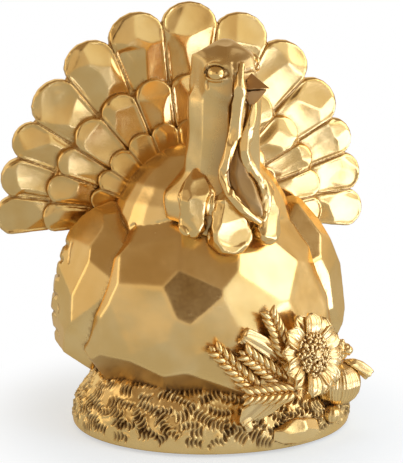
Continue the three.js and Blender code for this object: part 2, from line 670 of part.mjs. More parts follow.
/** An ear of wheat: a slim spindle with two rows of plump kernels leaning towards the tip. */
function earForm(stem, tip, halfWidth, grow) {
  const along = tip.clone().sub(stem);
  const length = along.length();
  along.normalize();
  const face = direction(12, 20);
  const across = face.clone().cross(along).normalize();
  const outward = along.clone().cross(across);
  const slim = (t) => Math.max(0.5, (halfWidth * 0.6) * Math.sin(Math.PI * (0.2 + 0.76 * t)));
  const spindle = sweep([stem, tip], across, (t) => [slim(t) + grow, slim(t) + grow], 8, 5);
  const kernels = [];
  for (let pair = 0; pair < KERNEL_PAIRS; pair += 1) {
    const t = 0.14 + (0.74 * pair) / (KERNEL_PAIRS - 1);
    const size = (1 - 0.4 * t) * halfWidth;
    for (const side of [-1, 1]) {
      const lean = along.clone().multiplyScalar(0.86).addScaledVector(across, side * 0.5).normalize();
      const thick = lean.clone().cross(outward).normalize();
      const place = stem.clone()
        .addScaledVector(along, t * length)
        .addScaledVector(across, side * size * 0.55)
        .addScaledVector(outward, size * 0.2);
      const halves = [0.5, 0.62, 1.05].map((share) => share * size + grow);
      const kernel = ball(new THREE.Vector3(), ...halves, 6, 4);
      kernels.push(placed(kernel, place, thick, outward.clone().negate(), lean));
    }
  }
  return joined([spindle, ...kernels]);
}

// The front ear and the leaf lie on the ledge that the base has in front of the body.
const LEDGE_REACH = BASE_HALF_DEPTH - BODY_HALF_DEPTH + 5.5;

/** An ear laid on the body: its stem and tip are each a bearing, a height above the base and a stand-off. */
function earOnBody(stem, tip, halfWidth, grow) {
  const ends = [stem, tip].map(([bearing, height, proud]) => onBody(bearing, BASE_TOP_Z + height, proud));
  return earForm(...ends, halfWidth, grow);
}

const wheatLow = (grow) => earOnBody([13, 1, 6], [-13, 29, 4], EAR_HALF_WIDTH, grow);
const wheatHigh = (grow) => earOnBody([28, 5, 8], [2, 26, 6], EAR_HALF_WIDTH, grow);
const wheatFront = (grow) => earOnBody([28, 0, LEDGE_REACH], [4, 3, LEDGE_REACH - 2], EAR_HALF_WIDTH, grow);
const wheatUpright = (grow) => earOnBody([29, 18, 4], [20, 46, 3], UPRIGHT_EAR_HALF_WIDTH, grow);

function huskForm(grow) {
  const from = onBody(28, BASE_TOP_Z + 14, 3);
  const to = onBody(5, BASE_TOP_Z + 34, 4);
  const bend = onBody(17, BASE_TOP_Z + 26, 5);
  const size = () => [HUSK_HALF_WIDTH + grow, HUSK_HALF_THICKNESS + grow];
  return sweep([from, bend, to], new THREE.Vector3(0, 0, 1), size, 8, 5);
}

function curledLeafForm(grow) {
  const stations = [
    onBase(4, BASE_TOP_Z - 19, 1),
    onBase(2, BASE_TOP_Z - 10, 2),
    onBase(14, BASE_TOP_Z - 3, 4),
    onBody(28, BASE_TOP_Z + 4, LEDGE_REACH),
  ];
  const size = (t) => [1.2 + LEAF_HALF_WIDTH * Math.sin(Math.PI * t) + grow, LEAF_HALF_THICKNESS + grow];
  return sweep(stations, new THREE.Vector3(-0.4, -0.3, 0.8), size, 8, 8);
}

function squashForm(grow) {
  const height = BASE_FLOOR_Z + 9;
  const ends = [[17, -3], [26, -2], [34, -2], [41, -3]];
  const stations = ends.map(([bearing, proud]) => onBase(bearing, height, proud));
  const plump = (t) => 4.6 + 2.4 * Math.sin(Math.PI * t) + 1.6 * t;
  const size = (t) => [plump(t) - 1.2 * t ** 3 + grow, plump(t) + grow];
  return sweep(stations, new THREE.Vector3(0, 0, 1), size, 12, 8);
}

function nutForm(grow) {
  return ball(onBase(52, BASE_FLOOR_Z + 13, 0), 6 + grow, 6 + grow, 5 + grow, 12, 8);
}

const PUMPKIN_MIDDLE = onBody(61, BASE_TOP_Z - 3, 13);

function pumpkinForm(grow) {
  const radius = PUMPKIN_RADIUS + grow;
  const skin = new THREE.SphereGeometry(1, PUMPKIN_RIBS * 4, 10).rotateX(Math.PI / 2);
  const points = skin.attributes.position;
  for (let i = 0; i < points.count; i += 1) {
    const around = Math.atan2(points.getY(i), points.getX(i));
    const rib = 1 - 0.09 * (1 - Math.abs(Math.cos((around * PUMPKIN_RIBS) / 2)));
    const across = rib * radius;
    points.setXYZ(i, points.getX(i) * across, points.getY(i) * across, points.getZ(i) * radius * 0.88);
  }
  return solidFrom(skin.translate(...PUMPKIN_MIDDLE.toArray()));
}

function pumpkinStemForm(grow) {
  const top = PUMPKIN_MIDDLE.clone().add(new THREE.Vector3(0, 0, PUMPKIN_RADIUS * 0.5));
  const steps = [[0, 0, 0], [8, -1, 3], [14, -2, 1], [18, -3, -3]];
  const stations = steps.map((step) => new THREE.Vector3(...step).add(top));
  const size = (t) => [4.6 - 1.4 * t + grow, 4.2 - 0.6 * t + grow];
  return sweep(stations, new THREE.Vector3(0, 1, 0), size, 8, 5);
}

function berriesForm(grow) {
  const middle = PUMPKIN_MIDDLE.clone().add(new THREE.Vector3(1, -1, PUMPKIN_RADIUS + 5.5));
  const radius = BERRY_RADIUS + grow;
  return joined(BERRY_PLACES.map((step) => {
    const place = new THREE.Vector3(...step).add(middle);
    return ball(place, radius, radius, radius, 10, 6);
  }));
}

// Assembly

const group = new THREE.Group();
group.name = "turkey_figure";

function addPiece(name, solid, colour = 0xc6a05e, roughness = 0.36, metalness = 0.85) {
  const material = new THREE.MeshStandardMaterial({ color: colour, roughness, metalness, flatShading: true });
  material.name = name;
  const mesh = new THREE.Mesh(geometryFrom(solid), material);
  mesh.name = name;
  group.add(mesh);
}

const rightWing = (grow) => wingForm(-1, grow);
const leftWing = (grow) => wingForm(1, grow);
const rightLobe = (grow) => lobeForm(RIGHT_LOBE, grow);
const middleLobe = (grow) => lobeForm(MIDDLE_LOBE, grow);
const leftLobe = (grow) => lobeForm(LEFT_LOBE, grow);
const upperBeak = (grow) => beakForm(1, grow);
const lowerBeak = (grow) => beakForm(-1, grow);
const places = Array.from({ length: 2 * TAIL_PAIRS + 1 }, (_, i) => i - TAIL_PAIRS);

addPiece("felt_pad", feltPad(), 0x23301f, 0.95, 0);
addPiece("base", bonded(baseMound, [bodyForm]), 0xb08a4c, 0.45, 0.8);
addPiece("body", mainBody(bodyForm(0)
  .subtract(neckPeg(GLUE_FILM))
  .subtract(tailTenon(GLUE_FILM))
  .subtract(wingPeg(-1, GLUE_FILM))
  .subtract(wingPeg(1, GLUE_FILM))));
addPiece("upper_back", bonded(backForm, [bodyForm, tailTenon, neckPeg]));
const wingSeats = [bodyForm, backForm, tailRoom, baseMound];
addPiece("right_wing", bonded(rightWing, wingSeats).add(wingPeg(-1, 0)));
addPiece("left_wing", bonded(leftWing, wingSeats).add(wingPeg(1, 0)));
addPiece("neck", bonded(neckForm, [bodyForm, backForm]).add(neckPeg(0)));
addPiece("head", bonded(headForm, [neckForm]));
addPiece("upper_beak", bonded(upperBeak, [headForm]), 0x9c7440);
addPiece("lower_beak", bonded(lowerBeak, [headForm]), 0x94705a);
addPiece("right_eye", bonded((grow) => eyeForm(RIGHT_EYE_BEARING, grow), [headForm]));
addPiece("left_eye", bonded((grow) => eyeForm(LEFT_EYE_BEARING, grow), [headForm]));
addPiece("snood", bonded(snoodForm, [headForm, upperBeak, lowerBeak]));

const face = [headForm, neckForm, upperBeak, lowerBeak, snoodForm];
const lobeSeats = [bodyForm, neckForm, backForm];
addPiece("breast_lobe_middle", bonded(middleLobe, lobeSeats));
addPiece("breast_lobe_right", bonded(rightLobe, [...lobeSeats, middleLobe]));
addPiece("breast_lobe_left", bonded(leftLobe, [...lobeSeats, middleLobe]));
const lobes = [middleLobe, rightLobe, leftLobe];
addPiece("wattle_left", bonded(wattleLeftForm, [...face, ...lobes]));
addPiece("wattle_right", bonded(wattleRightForm, [...face, ...lobes, wattleLeftForm]));

addPiece("tail_root", mainBody(tailRoot(places).subtract(bodyForm(GLUE_FILM))).add(tailTenon(0)));
for (const place of places) {
  const number = String(place + TAIL_PAIRS + 1).padStart(2, "0");
  addPiece(`tail_middle_${number}`, mainBody(middleFeather(place).subtract(bodyForm(GLUE_FILM))));
  addPiece(`tail_outer_${number}`, mainBody(outerFeather(place).subtract(bodyForm(GLUE_FILM))));
}
addPiece("rump", bonded(rumpForm, [bodyForm, baseMound, rightWing, leftWing]));

const ground = [bodyForm, baseMound];
addPiece("flower_petals", bonded(petalsForm, [...ground, discForm]));
addPiece("flower_disc", discForm(0), 0xa8823f);
addPiece("pumpkin", bonded(pumpkinForm, [...ground, petalsForm]));
addPiece("pumpkin_stem", bonded(pumpkinStemForm, [...ground, petalsForm, pumpkinForm]));
const blossom = [...ground, petalsForm, pumpkinForm, pumpkinStemForm];
addPiece("berries", bonded(berriesForm, [...blossom, leftWing]));
addPiece("squash", bonded(squashForm, blossom));
addPiece("nut", bonded(nutForm, [...blossom, squashForm]));
addPiece("curled_leaf", bonded(curledLeafForm, [...blossom, squashForm]));
addPiece("wheat_front", bonded(wheatFront, [...blossom, curledLeafForm]));
addPiece("wheat_high", bonded(wheatHigh, [...blossom, curledLeafForm, wheatFront]));
addPiece("wheat_low", bonded(wheatLow, [...blossom, curledLeafForm, wheatFront, wheatHigh]));
addPiece("husk", bonded(huskForm, [...blossom, wheatHigh, wheatLow, wheatFront]));
addPiece("wheat_upright", bonded(wheatUpright, [...blossom, huskForm, wheatHigh]));

export default group;
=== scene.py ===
"""Dresses the gilded turkey figure: dense carved castings over the solids, gold paint, light and camera."""

import itertools
import logging
import math
from dataclasses import dataclass, field
from enum import Enum
from typing import Any, Iterable, Sequence

import bmesh
import bpy
import numpy as np
from mathutils import Matrix, Vector


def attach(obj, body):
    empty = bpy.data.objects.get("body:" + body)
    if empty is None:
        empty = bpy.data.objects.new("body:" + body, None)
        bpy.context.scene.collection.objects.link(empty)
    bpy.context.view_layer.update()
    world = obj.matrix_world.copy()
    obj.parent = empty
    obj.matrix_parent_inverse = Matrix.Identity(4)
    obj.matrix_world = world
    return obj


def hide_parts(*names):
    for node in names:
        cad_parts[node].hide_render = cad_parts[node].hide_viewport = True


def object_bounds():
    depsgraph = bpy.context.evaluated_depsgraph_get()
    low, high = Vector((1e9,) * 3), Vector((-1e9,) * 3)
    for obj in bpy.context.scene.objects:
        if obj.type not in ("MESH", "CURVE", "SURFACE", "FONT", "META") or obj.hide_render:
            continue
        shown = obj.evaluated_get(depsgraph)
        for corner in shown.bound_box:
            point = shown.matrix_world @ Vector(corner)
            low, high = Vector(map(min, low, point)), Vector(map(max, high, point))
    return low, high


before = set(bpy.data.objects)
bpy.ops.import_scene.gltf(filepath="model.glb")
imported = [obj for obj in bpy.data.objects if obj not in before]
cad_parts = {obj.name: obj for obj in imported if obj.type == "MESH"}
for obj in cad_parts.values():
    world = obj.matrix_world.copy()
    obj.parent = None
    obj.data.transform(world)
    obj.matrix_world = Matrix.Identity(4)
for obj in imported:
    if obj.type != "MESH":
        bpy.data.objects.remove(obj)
CAD_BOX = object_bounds()
LOG = logging.getLogger("turkey_figure")
MM = 0.001
UP = np.array([0.0, 0.0, 1.0])
NOISE_SHIFT = 31.7
NOISE_PRIMES = (73856093, 19349663, 83492791, 2654435761)
NOISE_MIX = 1274126177
NOISE_MASK = 0xFFFF
Array = np.ndarray
Colour = tuple[float, float, float, float]
Span = tuple[float, float]
Triple = tuple[float, float, float]


class Slot(Enum):
    """The record's finishes."""

    BIRD = "bird"
    TAIL = "tail"
    BEAK = "beak"
    EYES = "eyes"
    HAY = "hay"
    HARVEST = "harvest"
    FELT = "felt"


def heading(bearing: float, lift: float = 0.0) -> Array:
    """Gives the unit vector along a bearing round from the front and a lift above level.

    Args:
        bearing: Degrees round from the front, positive towards the bird's left.
        lift: Degrees above level.

    Returns:
        The direction as three numbers.
    """
    turn, tilt = math.radians(bearing), math.radians(lift)
    return np.array([math.sin(turn) * math.cos(tilt), -math.cos(turn) * math.cos(tilt), math.sin(tilt)])


def unit(vectors: Array) -> Array:
    """Scales vectors to length one."""
    return vectors / np.maximum(np.linalg.norm(vectors, axis=-1, keepdims=True), 1e-12)


def ease(low: float, high: float, value: Array) -> Array:
    """Rises smoothly from 0 at low to 1 at high."""
    share = np.clip((value - low) / (high - low), 0.0, 1.0)
    return share * share * (3.0 - 2.0 * share)


def ripple(points: Array, wavelength: float, seed: int) -> Array:
    """Gives smooth noise that is the same on every run.

    Args:
        points: Places in metres.
        wavelength: The distance between neighbouring swells, in metres.
        seed: Picks one pattern out of many.

    Returns:
        A number from -1 to 1 for each place.
    """
    first, second, third, last = NOISE_PRIMES
    grid = points / wavelength + NOISE_SHIFT * seed
    corner = np.floor(grid).astype(np.int64)
    part = grid - corner
    fade = part ** 3 * (part * (part * 6.0 - 15.0) + 10.0)
    total = np.zeros(len(points))
    for step in itertools.product((0, 1), repeat=3):
        x, y, z = (corner + step).T
        mixed = (x * first) ^ (y * second) ^ (z * third) ^ (seed * last)
        mixed = (mixed ^ (mixed >> 13)) * NOISE_MIX
        level = ((mixed ^ (mixed >> 16)) & NOISE_MASK) / NOISE_MASK
        total += np.prod(np.where(step, fade, 1.0 - fade), axis=1) * level
    return 2.0 * total - 1.0


def curve(stations: Sequence[Sequence[float]], count: int) -> Array:
    """Draws a smooth line through stations.

    Args:
        stations: The places it passes.
        count: How many points it has.

    Returns:
        The line's points.
    """
    knots = np.asarray(stations, float)
    padded = np.vstack([2 * knots[0] - knots[1], knots, 2 * knots[-1] - knots[-2]])
    along = np.linspace(0, len(knots) - 1, count)
    piece = np.minimum(along.astype(int), len(knots) - 2)
    t = (along - piece)[:, None]
    a, b, c, d = (padded[piece + step] for step in range(4))
    square = (2 * a - 5 * b + 4 * c - d) * t ** 2
    cube = (3 * b - a - 3 * c + d) * t ** 3
    return 0.5 * (2 * b + (c - a) * t + square + cube)


def sweep(path: Array, across: Array, half_width: Array, half_height: Array, sides: int) -> Array:
    """Carries an oval section along a path.

    Args:
        path: The path's points.
        across: The direction of the section's width.
        half_width: Half its width at each point.
        half_height: Half its height at each point.
        sides: How many points go round it.

    Returns:
        The rings of points.
    """
    along = unit(np.gradient(path, axis=0))
    wide = unit(across - (along @ across)[:, None] * along)
    thick = np.cross(along, wide)
    turn = (np.arange(sides) + 0.5) / sides * 2 * math.pi
    return (path[:, None] + wide[:, None] * (half_width[:, None] * np.cos(turn))[..., None]
            + thick[:, None] * (half_height[:, None] * np.sin(turn))[..., None])


def path_distance(places: Array, path: Array) -> Array:
    """Measures how far each place is from a path of straight steps.

    Args:
        places: The places.
        path: The path's points.

    Returns:
        The distances.
    """
    best = np.full(len(places), np.inf)
    for start, end in zip(path[:-1], path[1:]):
        along = end - start
        share = np.clip((places - start) @ along / max(along @ along, 1e-18), 0.0, 1.0)
        best = np.minimum(best, np.linalg.norm(places - start - share[:, None] * along, axis=1))
    return best


def spun(places: Array, turn: float) -> Array:
    """Turns places about the third axis by an angle in radians.

    Args:
        places: The places.
        turn: The angle.

    Returns:
        The turned places.
    """
    c, s = math.cos(turn), math.sin(turn)
    x, y, z = np.moveaxis(places, -1, 0)
    return np.stack([c * x - s * y, s * x + c * y, z], axis=-1)


def read_triples(items: bpy.types.bpy_prop_collection, name: str) -> Array:
    """Reads one vector from each item of a mesh.

    Args:
        items: The mesh's vertices or normals.
        name: The vector's name in them.

    Returns:
        The vectors as rows.
    """
    flat = np.empty(len(items) * 3, np.float32)
    items.foreach_get(name, flat)
    return flat.reshape(-1, 3).astype(float)


def add_object(name: str, data: bpy.types.ID) -> bpy.types.Object:
    """Makes an object and links it to the scene.

    Args:
        name: Its name.
        data: Its mesh, lamp or camera.

    Returns:
        The object.
    """
    thing = bpy.data.objects.new(name, data)
    bpy.context.scene.collection.objects.link(thing)
    return thing


def node_points(node: str) -> Array:
    """Gives the corners of one solid."""
    return read_triples(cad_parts[node].data.vertices, "co")


def node_axis(node: str) -> tuple[Array, Array]:
    """Finds the middle and the long axis of one solid.

    Args:
        node: The solid.

    Returns:
        The middle in metres and the axis as a unit vector.
    """
    points = node_points(node)
    middle = points.mean(axis=0)
    return middle, np.linalg.svd(points - middle, full_matrices=False)[2][0]


class Clay:
    """Points and faces gathered for one mesh."""

    EGG_RINGS, EGG_SIDES = 220, 420
    EGG_POLE = 0.495
    FACET_TRIES = 4000
    FACET_SPACING = (0.88, 1.12)
    FACET_TILT = 0.07
    GRAIN_RINGS, GRAIN_SIDES = 9, 10

    def __init__(self) -> None:
        """Starts empty."""
        self.points: list[Array] = []
        self.faces: list[tuple[int, ...]] = []
        self.count = 0

    def tube(self, rings: Array) -> None:
        """Adds a closed skin through rings of points, capped at both ends.

        Args:
            rings: Points by row, side and axis.
        """
        rows, sides = rings.shape[:2]
        start = self.count
        self.points.append(rings.reshape(-1, 3))
        self.count += rows * sides
        for row in range(rows - 1):
            for side in range(sides):
                a = start + row * sides + side
                b = start + row * sides + (side + 1) % sides
                self.faces.append((a, b, b + sides, a + sides))
        last = start + (rows - 1) * sides
        self.faces.append(tuple(range(start + sides - 1, start - 1, -1)))
        self.faces.append(tuple(range(last, last + sides)))

    def grain(self, foot: Array, tip: Array, across: Array, half_width: float, half_height: float) -> None:
        """Adds a plump grain with a pointed tip.

        Args:
            foot: Where it starts.
            tip: Where it ends.
            across: The direction of its width.
            half_width: Half its greatest width.
            half_height: Half its greatest height.
        """
        share = np.linspace(0.0, 1.0, self.GRAIN_RINGS)
        plump = np.maximum(np.sin(math.pi * share ** 0.8), 0.03) ** 0.75
        path = foot + share[:, None] * (tip - foot)
        self.tube(sweep(path, across, half_width * plump, half_height * plump, self.GRAIN_SIDES))

    def hewn(self, halves: Sequence[float], drop: float, size: float, seed: int,
             first: Sequence[Span] = (), cuts: Iterable[tuple[Array, float]] = ()) -> Array:
        """Draws an egg about the origin that is hewn into flat facets.

        Args:
            halves: Its half width, its half depth and its rise.
            drop: How far it reaches down.
            size: The usual distance between the middles of facets.
            seed: Picks the pattern.
            first: The bearings and lifts of facets that are there whatever the pattern.
            cuts: Further planes, each as its outward direction and its distance from the origin.

        Returns:
            The rings of points, from the lowest to the highest.
        """
        chance = np.random.default_rng(seed)
        tries = unit(chance.normal(size=(self.FACET_TRIES, 3)))
        facing = np.vstack([*(heading(*way) for way in first), tries])
        scale = np.where(facing[:, 2:] > 0, [[*halves]], [[*halves[:2], drop]])
        seats = scale ** 2 * facing / np.linalg.norm(scale * facing, axis=1, keepdims=True)
        chosen = [0]
        for index in range(1, len(seats)):
            apart = np.linalg.norm(seats[chosen] - seats[index], axis=1).min()
            if apart > size * chance.uniform(*self.FACET_SPACING):
                chosen.append(index)
        tilt = np.where(np.array(chosen) < len(first), 0.0, self.FACET_TILT)[:, None]
        planes = unit(facing[chosen] + tilt * chance.normal(size=(len(chosen), 3)))
        distances = (planes * seats[chosen]).sum(axis=1)
        for plane, distance in cuts:
            planes, distances = np.vstack([planes, plane]), np.append(distances, distance)
        lift = np.linspace(-self.EGG_POLE, self.EGG_POLE, self.EGG_RINGS)[:, None] * math.pi
        turn = np.arange(self.EGG_SIDES) / self.EGG_SIDES * 2 * math.pi
        ball = np.stack([np.cos(lift) * np.cos(turn), np.cos(lift) * np.sin(turn),
                         np.broadcast_to(np.sin(lift), (len(lift), len(turn)))], axis=2).reshape(-1, 3)
        smooth = ball * np.where(ball[:, 2:] > 0, [[*halves]], [[*halves[:2], drop]])
        share = np.full(len(smooth), np.inf)
        for plane, distance in zip(planes, distances):
            share = np.minimum(share, distance / np.maximum(smooth @ plane, 1e-6))
        return (smooth * share[:, None]).reshape(self.EGG_RINGS, self.EGG_SIDES, 3)

    def mesh(self, name: str) -> bpy.types.Mesh:
        """Makes the mesh.

        Args:
            name: Its name.

        Returns:
            The mesh.
        """
        made = bpy.data.meshes.new(name)
        made.from_pydata(np.concatenate(self.points).tolist(), [], self.faces)
        made.validate()
        return made


class Casting:
    """One piece of the figure: a dense mesh that is carved and then painted."""

    SCOOP = 0.55
    FACET_TRIES = 2500
    FACET_FADE, FACET_REACH = 2.0, 3.2
    LEVEL_BAND = 0.3
    LEAN_SPREAD = 0.7
    LEAST_LEAN = 0.35
    SWELL_LENGTH, DIMPLE_LENGTH = 15.0, 4.5

    def __init__(self, name: str, mesh: bpy.types.Mesh, slot: Slot, nodes: Sequence[str]) -> None:
        """Puts the mesh in the scene in place of its solids.

        Args:
            name: The piece's name.
            mesh: Its mesh, in metres in the shared frame.
            slot: The finish it takes.
            nodes: The solids it stands for.
        """
        mesh.shade_smooth()
        self.slot = slot
        # Each vertex's darkening: brown antiquing and painted shade in hollows, creases and beneath.
        self.wash_and_shade_level = np.zeros(len(mesh.vertices))
        self.thing = add_object(name, mesh)
        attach(self.thing, "root")
        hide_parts(*nodes)

    @classmethod
    def over(cls, nodes: Sequence[str], voxel: float, slot: Slot, added: Clay | None = None,
             solids: Sequence[str] | None = None) -> "Casting":
        """Makes one even dense skin over one or more solids.

        Args:
            nodes: The names of the solids it stands for, the first of which names the casting.
            voxel: The skin's mesh size in millimetres.
            slot: The finish it takes.
            added: More forms that the skin goes round.
            solids: The solids that the skin goes round, or None where they are all of the nodes.

        Returns:
            The casting.
        """
        gathered = bmesh.new()
        for node in nodes if solids is None else solids:
            gathered.from_mesh(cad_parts[node].data)
        if added:
            gathered.from_mesh(added.mesh(nodes[0] + "_added"))
        block_mesh = bpy.data.meshes.new(nodes[0] + "_block")
        gathered.to_mesh(block_mesh)
        gathered.free()
        block = add_object(nodes[0] + "_block", block_mesh)
        skin = block.modifiers.new("skin", "REMESH")
        skin.mode = "VOXEL"
        skin.voxel_size = voxel * MM
        graph = bpy.context.evaluated_depsgraph_get()
        mesh = bpy.data.meshes.new_from_object(block.evaluated_get(graph))
        bpy.data.objects.remove(block)
        bpy.data.meshes.remove(block_mesh)
        mesh.materials.clear()
        return cls(nodes[0] + "_casting", mesh, slot, nodes)

    @property
    def mesh(self) -> bpy.types.Mesh:
        """The mesh itself."""
        return self.thing.data

    @property
    def points(self) -> Array:
        """The places of its vertices."""
        return read_triples(self.mesh.vertices, "co")

    @points.setter
    def points(self, places: Array) -> None:
        """Moves its vertices."""
        self.mesh.vertices.foreach_set("co", places.astype(np.float32).ravel())
        self.mesh.update()

    @property
    def normals(self) -> Array:
        """The outward direction at each vertex."""
        return read_triples(self.mesh.vertex_normals, "vector")

    @property
    def areas(self) -> Array:
        """The skin area that belongs to each vertex.

        Returns:
            The areas in square metres.
        """
        faces = len(self.mesh.polygons)
        area, sides = np.empty(faces, np.float32), np.empty(faces, np.int32)
        self.mesh.polygons.foreach_get("area", area)
        self.mesh.polygons.foreach_get("loop_total", sides)
        corners = np.empty(len(self.mesh.loops), np.int32)
        self.mesh.loops.foreach_get("vertex_index", corners)
        return np.bincount(corners, np.repeat(area / sides, sides), len(self.mesh.vertices))

    def relax(self, rounds: int, strength: float | Array = 0.5) -> "Casting":
        """Softens its edges, as sanding and paint do.

        Args:
            rounds: How many times each point moves towards its neighbours.
            strength: The share of the way that it moves each time, for all points or for each.

        Returns:
            The casting.
        """
        strength = np.reshape(strength, (-1, 1))
        ends = np.empty(len(self.mesh.edges) * 2, np.int32)
        self.mesh.edges.foreach_get("vertices", ends)
        a, b = ends.reshape(-1, 2).T
        places = self.points
        count = len(places)
        degree = np.maximum(np.bincount(ends, minlength=count), 1)[:, None]
        for _ in range(rounds):
            around = np.stack([
                np.bincount(a, places[b, axis], count) + np.bincount(b, places[a, axis], count)
                for axis in range(3)
            ], axis=1)
            places = places + strength * (around / degree - places)
        self.points = places
        return self

    def facet(self, size: float, seed: int, tilt: float = 6.0, deepest: float = 1.5,
              share: float | Array = 1.0) -> "Casting":
        """Cuts its skin into flat hand-carved facets that meet in edges.

        Args:
            size: The usual distance between facets in millimetres.
            seed: Picks the pattern.
            tilt: How far the facets lean at random, in degrees.
            deepest: The furthest that the skin moves, in millimetres.
            share: How much of the cut each point takes.

        Returns:
            The casting.
        """
        places, normals = self.points, self.normals
        chance = np.random.default_rng(seed)
        spots = np.hstack([places / (size * MM), normals])
        share = np.broadcast_to(share, len(places))
        chosen: list[int] = []
        for index in chance.choice(np.flatnonzero(share > 0.5), self.FACET_TRIES).tolist():
            if not chosen or ((spots[chosen] - spots[index]) ** 2).sum(axis=1).min() > 1.0:
                chosen.append(index)
        slope = math.tan(math.radians(tilt))
        lowest = np.full(len(places), deepest * MM)
        for index in chosen:
            apart = ((spots - spots[index]) ** 2).sum(axis=1)
            level = np.abs((places - places[index]) @ normals[index]) < self.LEVEL_BAND * size * MM
            near = (apart < self.FACET_REACH) & level
            aside = np.clip(chance.normal(0.0, self.LEAN_SPREAD, 3), -1.0, 1.0)
            plane = unit(normals[index] + slope * aside)
            lean = np.maximum(normals[near] @ plane, self.LEAST_LEAN)
            rim = ease(self.FACET_FADE, self.FACET_REACH, apart[near])
            scoop = self.SCOOP * slope * size * MM * apart[near] + 4 * deepest * MM * rim
            move = ((places[index] - places[near]) @ plane) / lean + scoop
            lowest[near] = np.minimum(lowest[near], move)
        return self.push(share * np.clip(lowest - np.median(lowest), -deepest * MM, deepest * MM))

    def stretch(self, origin: Array, axis: Array, factor: float, shift: Array) -> "Casting":
        """Scales it along one axis and moves it.

        Args:
            origin: The place that the scaling leaves where it is, in millimetres.
            axis: The unit direction of the scaling.
            factor: How much longer it gets.
            shift: How far it moves, in millimetres.

        Returns:
            The casting.
        """
        places = self.points
        along = (places - origin * MM) @ axis
        self.points = places + np.outer(along * (factor - 1.0), axis) + shift * MM
        return self

    def push(self, distance: Array) -> "Casting":
        """Moves its skin outwards by a distance for each vertex."""
        self.points = self.points + self.normals * distance[:, None]
        return self

    def weather(self, seed: int, swell: float = 0.1, dimple: float = 0.02) -> "Casting":
        """Gives the skin the slight unevenness of hand carving.

        Args:
            seed: Picks the pattern.
            swell: The height of the broad swells in millimetres.
            dimple: The height of the small ones in millimetres.

        Returns:
            The casting.
        """
        places = self.points
        broad = ripple(places, self.SWELL_LENGTH * MM, seed) * swell
        small = ripple(places, self.DIMPLE_LENGTH * MM, seed + 7) * dimple
        return self.push((broad + small) * MM)

    def snapped(self, path: Array) -> Array:
        """Moves a path's points onto the nearest places of the skin."""
        places = self.points
        return np.stack([places[np.argmin(((places - step) ** 2).sum(axis=1))] for step in path])

    def carve(self, path: Array, width: float, depth: float, wash_and_shade_level: float = 0.0) -> "Casting":
        """Cuts a groove along a path, or raises a ridge where the depth is below zero.

        Args:
            path: The path's points in metres, on the skin or close to it.
            width: Half the groove's width in millimetres.
            depth: Its depth in millimetres.
            wash_and_shade_level: How much brown antiquing and painted shade it takes, from 0 to 1.

        Returns:
            The casting.
        """
        share = np.exp(-(path_distance(self.points, path) / (width * MM)) ** 2)
        # The groove is darkened with antiquing and painted shade.
        self.wash_and_shade_level = np.maximum(self.wash_and_shade_level, wash_and_shade_level * share)
        return self.push(-depth * MM * share)

    def mark(self, name: str, level: Array) -> None:
        """Keeps a level for each vertex, which the paint reads."""
        kept = self.mesh.attributes.new(name, "FLOAT", "POINT")
        kept.data.foreach_set("value", level.astype(np.float32))

    def paint(self, material: bpy.types.Material) -> None:
        """Gives it its paint."""
        self.mesh.materials.clear()
        self.mesh.materials.append(material)


class WashAndShade:
    """The brown antiquing in the grooves together with the painted shade that falls in them, found from how
    much skin lies round each place.
    """

    CELL = 1.1 * MM
    MARGIN = 12 * MM
    BLUR = 1
    OFF = 1.2
    NARROW, FULL = 1.7, 3.2
    # How much of the antiquing and painted shade each finish takes.
    SLOT_SHARE = {Slot.TAIL: 0.35, Slot.BIRD: 0.7, Slot.HARVEST: 0.55}

    def __init__(self, castings: Iterable[Casting]) -> None:
        """Measures the skin of all the castings together.

        Args:
            castings: Every painted piece.
        """
        self.low = np.array(CAD_BOX[0]) - self.MARGIN
        span = np.array(CAD_BOX[1]) + self.MARGIN - self.low
        self.shape = np.ceil(span / self.CELL).astype(int)
        total = np.zeros(int(np.prod(self.shape)))
        for casting in castings:
            total += np.bincount(self.index(casting.points), casting.areas, len(total))
        grid = total.reshape(self.shape)
        for axis in (0, 1, 2, 0, 1, 2):
            grid = self.blurred(grid, axis)
        width = 2 * self.BLUR + 1
        flat = (width - self.OFF) / width ** 2
        self.closeness = grid.ravel() / (self.CELL ** 2 * flat)

    def index(self, places: Array) -> Array:
        """Finds the cell that each place is in."""
        cells = np.clip(((places - self.low) / self.CELL).astype(int), 0, self.shape - 1)
        return np.ravel_multi_index(cells.T, self.shape)

    def blurred(self, grid: Array, axis: int) -> Array:
        """Averages each cell with its neighbours along one axis.

        Args:
            grid: The cells.
            axis: The axis's number.

        Returns:
            The averages.
        """
        reach = self.BLUR
        edge = [(0, 0)] * 3
        edge[axis] = (reach + 1, reach)
        sums = np.cumsum(np.pad(grid, edge), axis=axis)
        count = grid.shape[axis]
        ahead = np.take(sums, np.arange(count) + 2 * reach + 1, axis=axis)
        behind = np.take(sums, np.arange(count), axis=axis)
        return (ahead - behind) / (2 * reach + 1)

    def darken(self, casting: Casting) -> None:
        """Marks where the brown antiquing and the painted shade go on one casting.

        Args:
            casting: The casting.
        """
        off = casting.points + casting.normals * (self.OFF * self.CELL)
        level = ease(self.NARROW, self.FULL, self.closeness[self.index(off)])
        casting.mark("wash_and_shade", np.maximum(level * self.SLOT_SHARE.get(casting.slot, 1.0), casting.wash_and_shade_level))


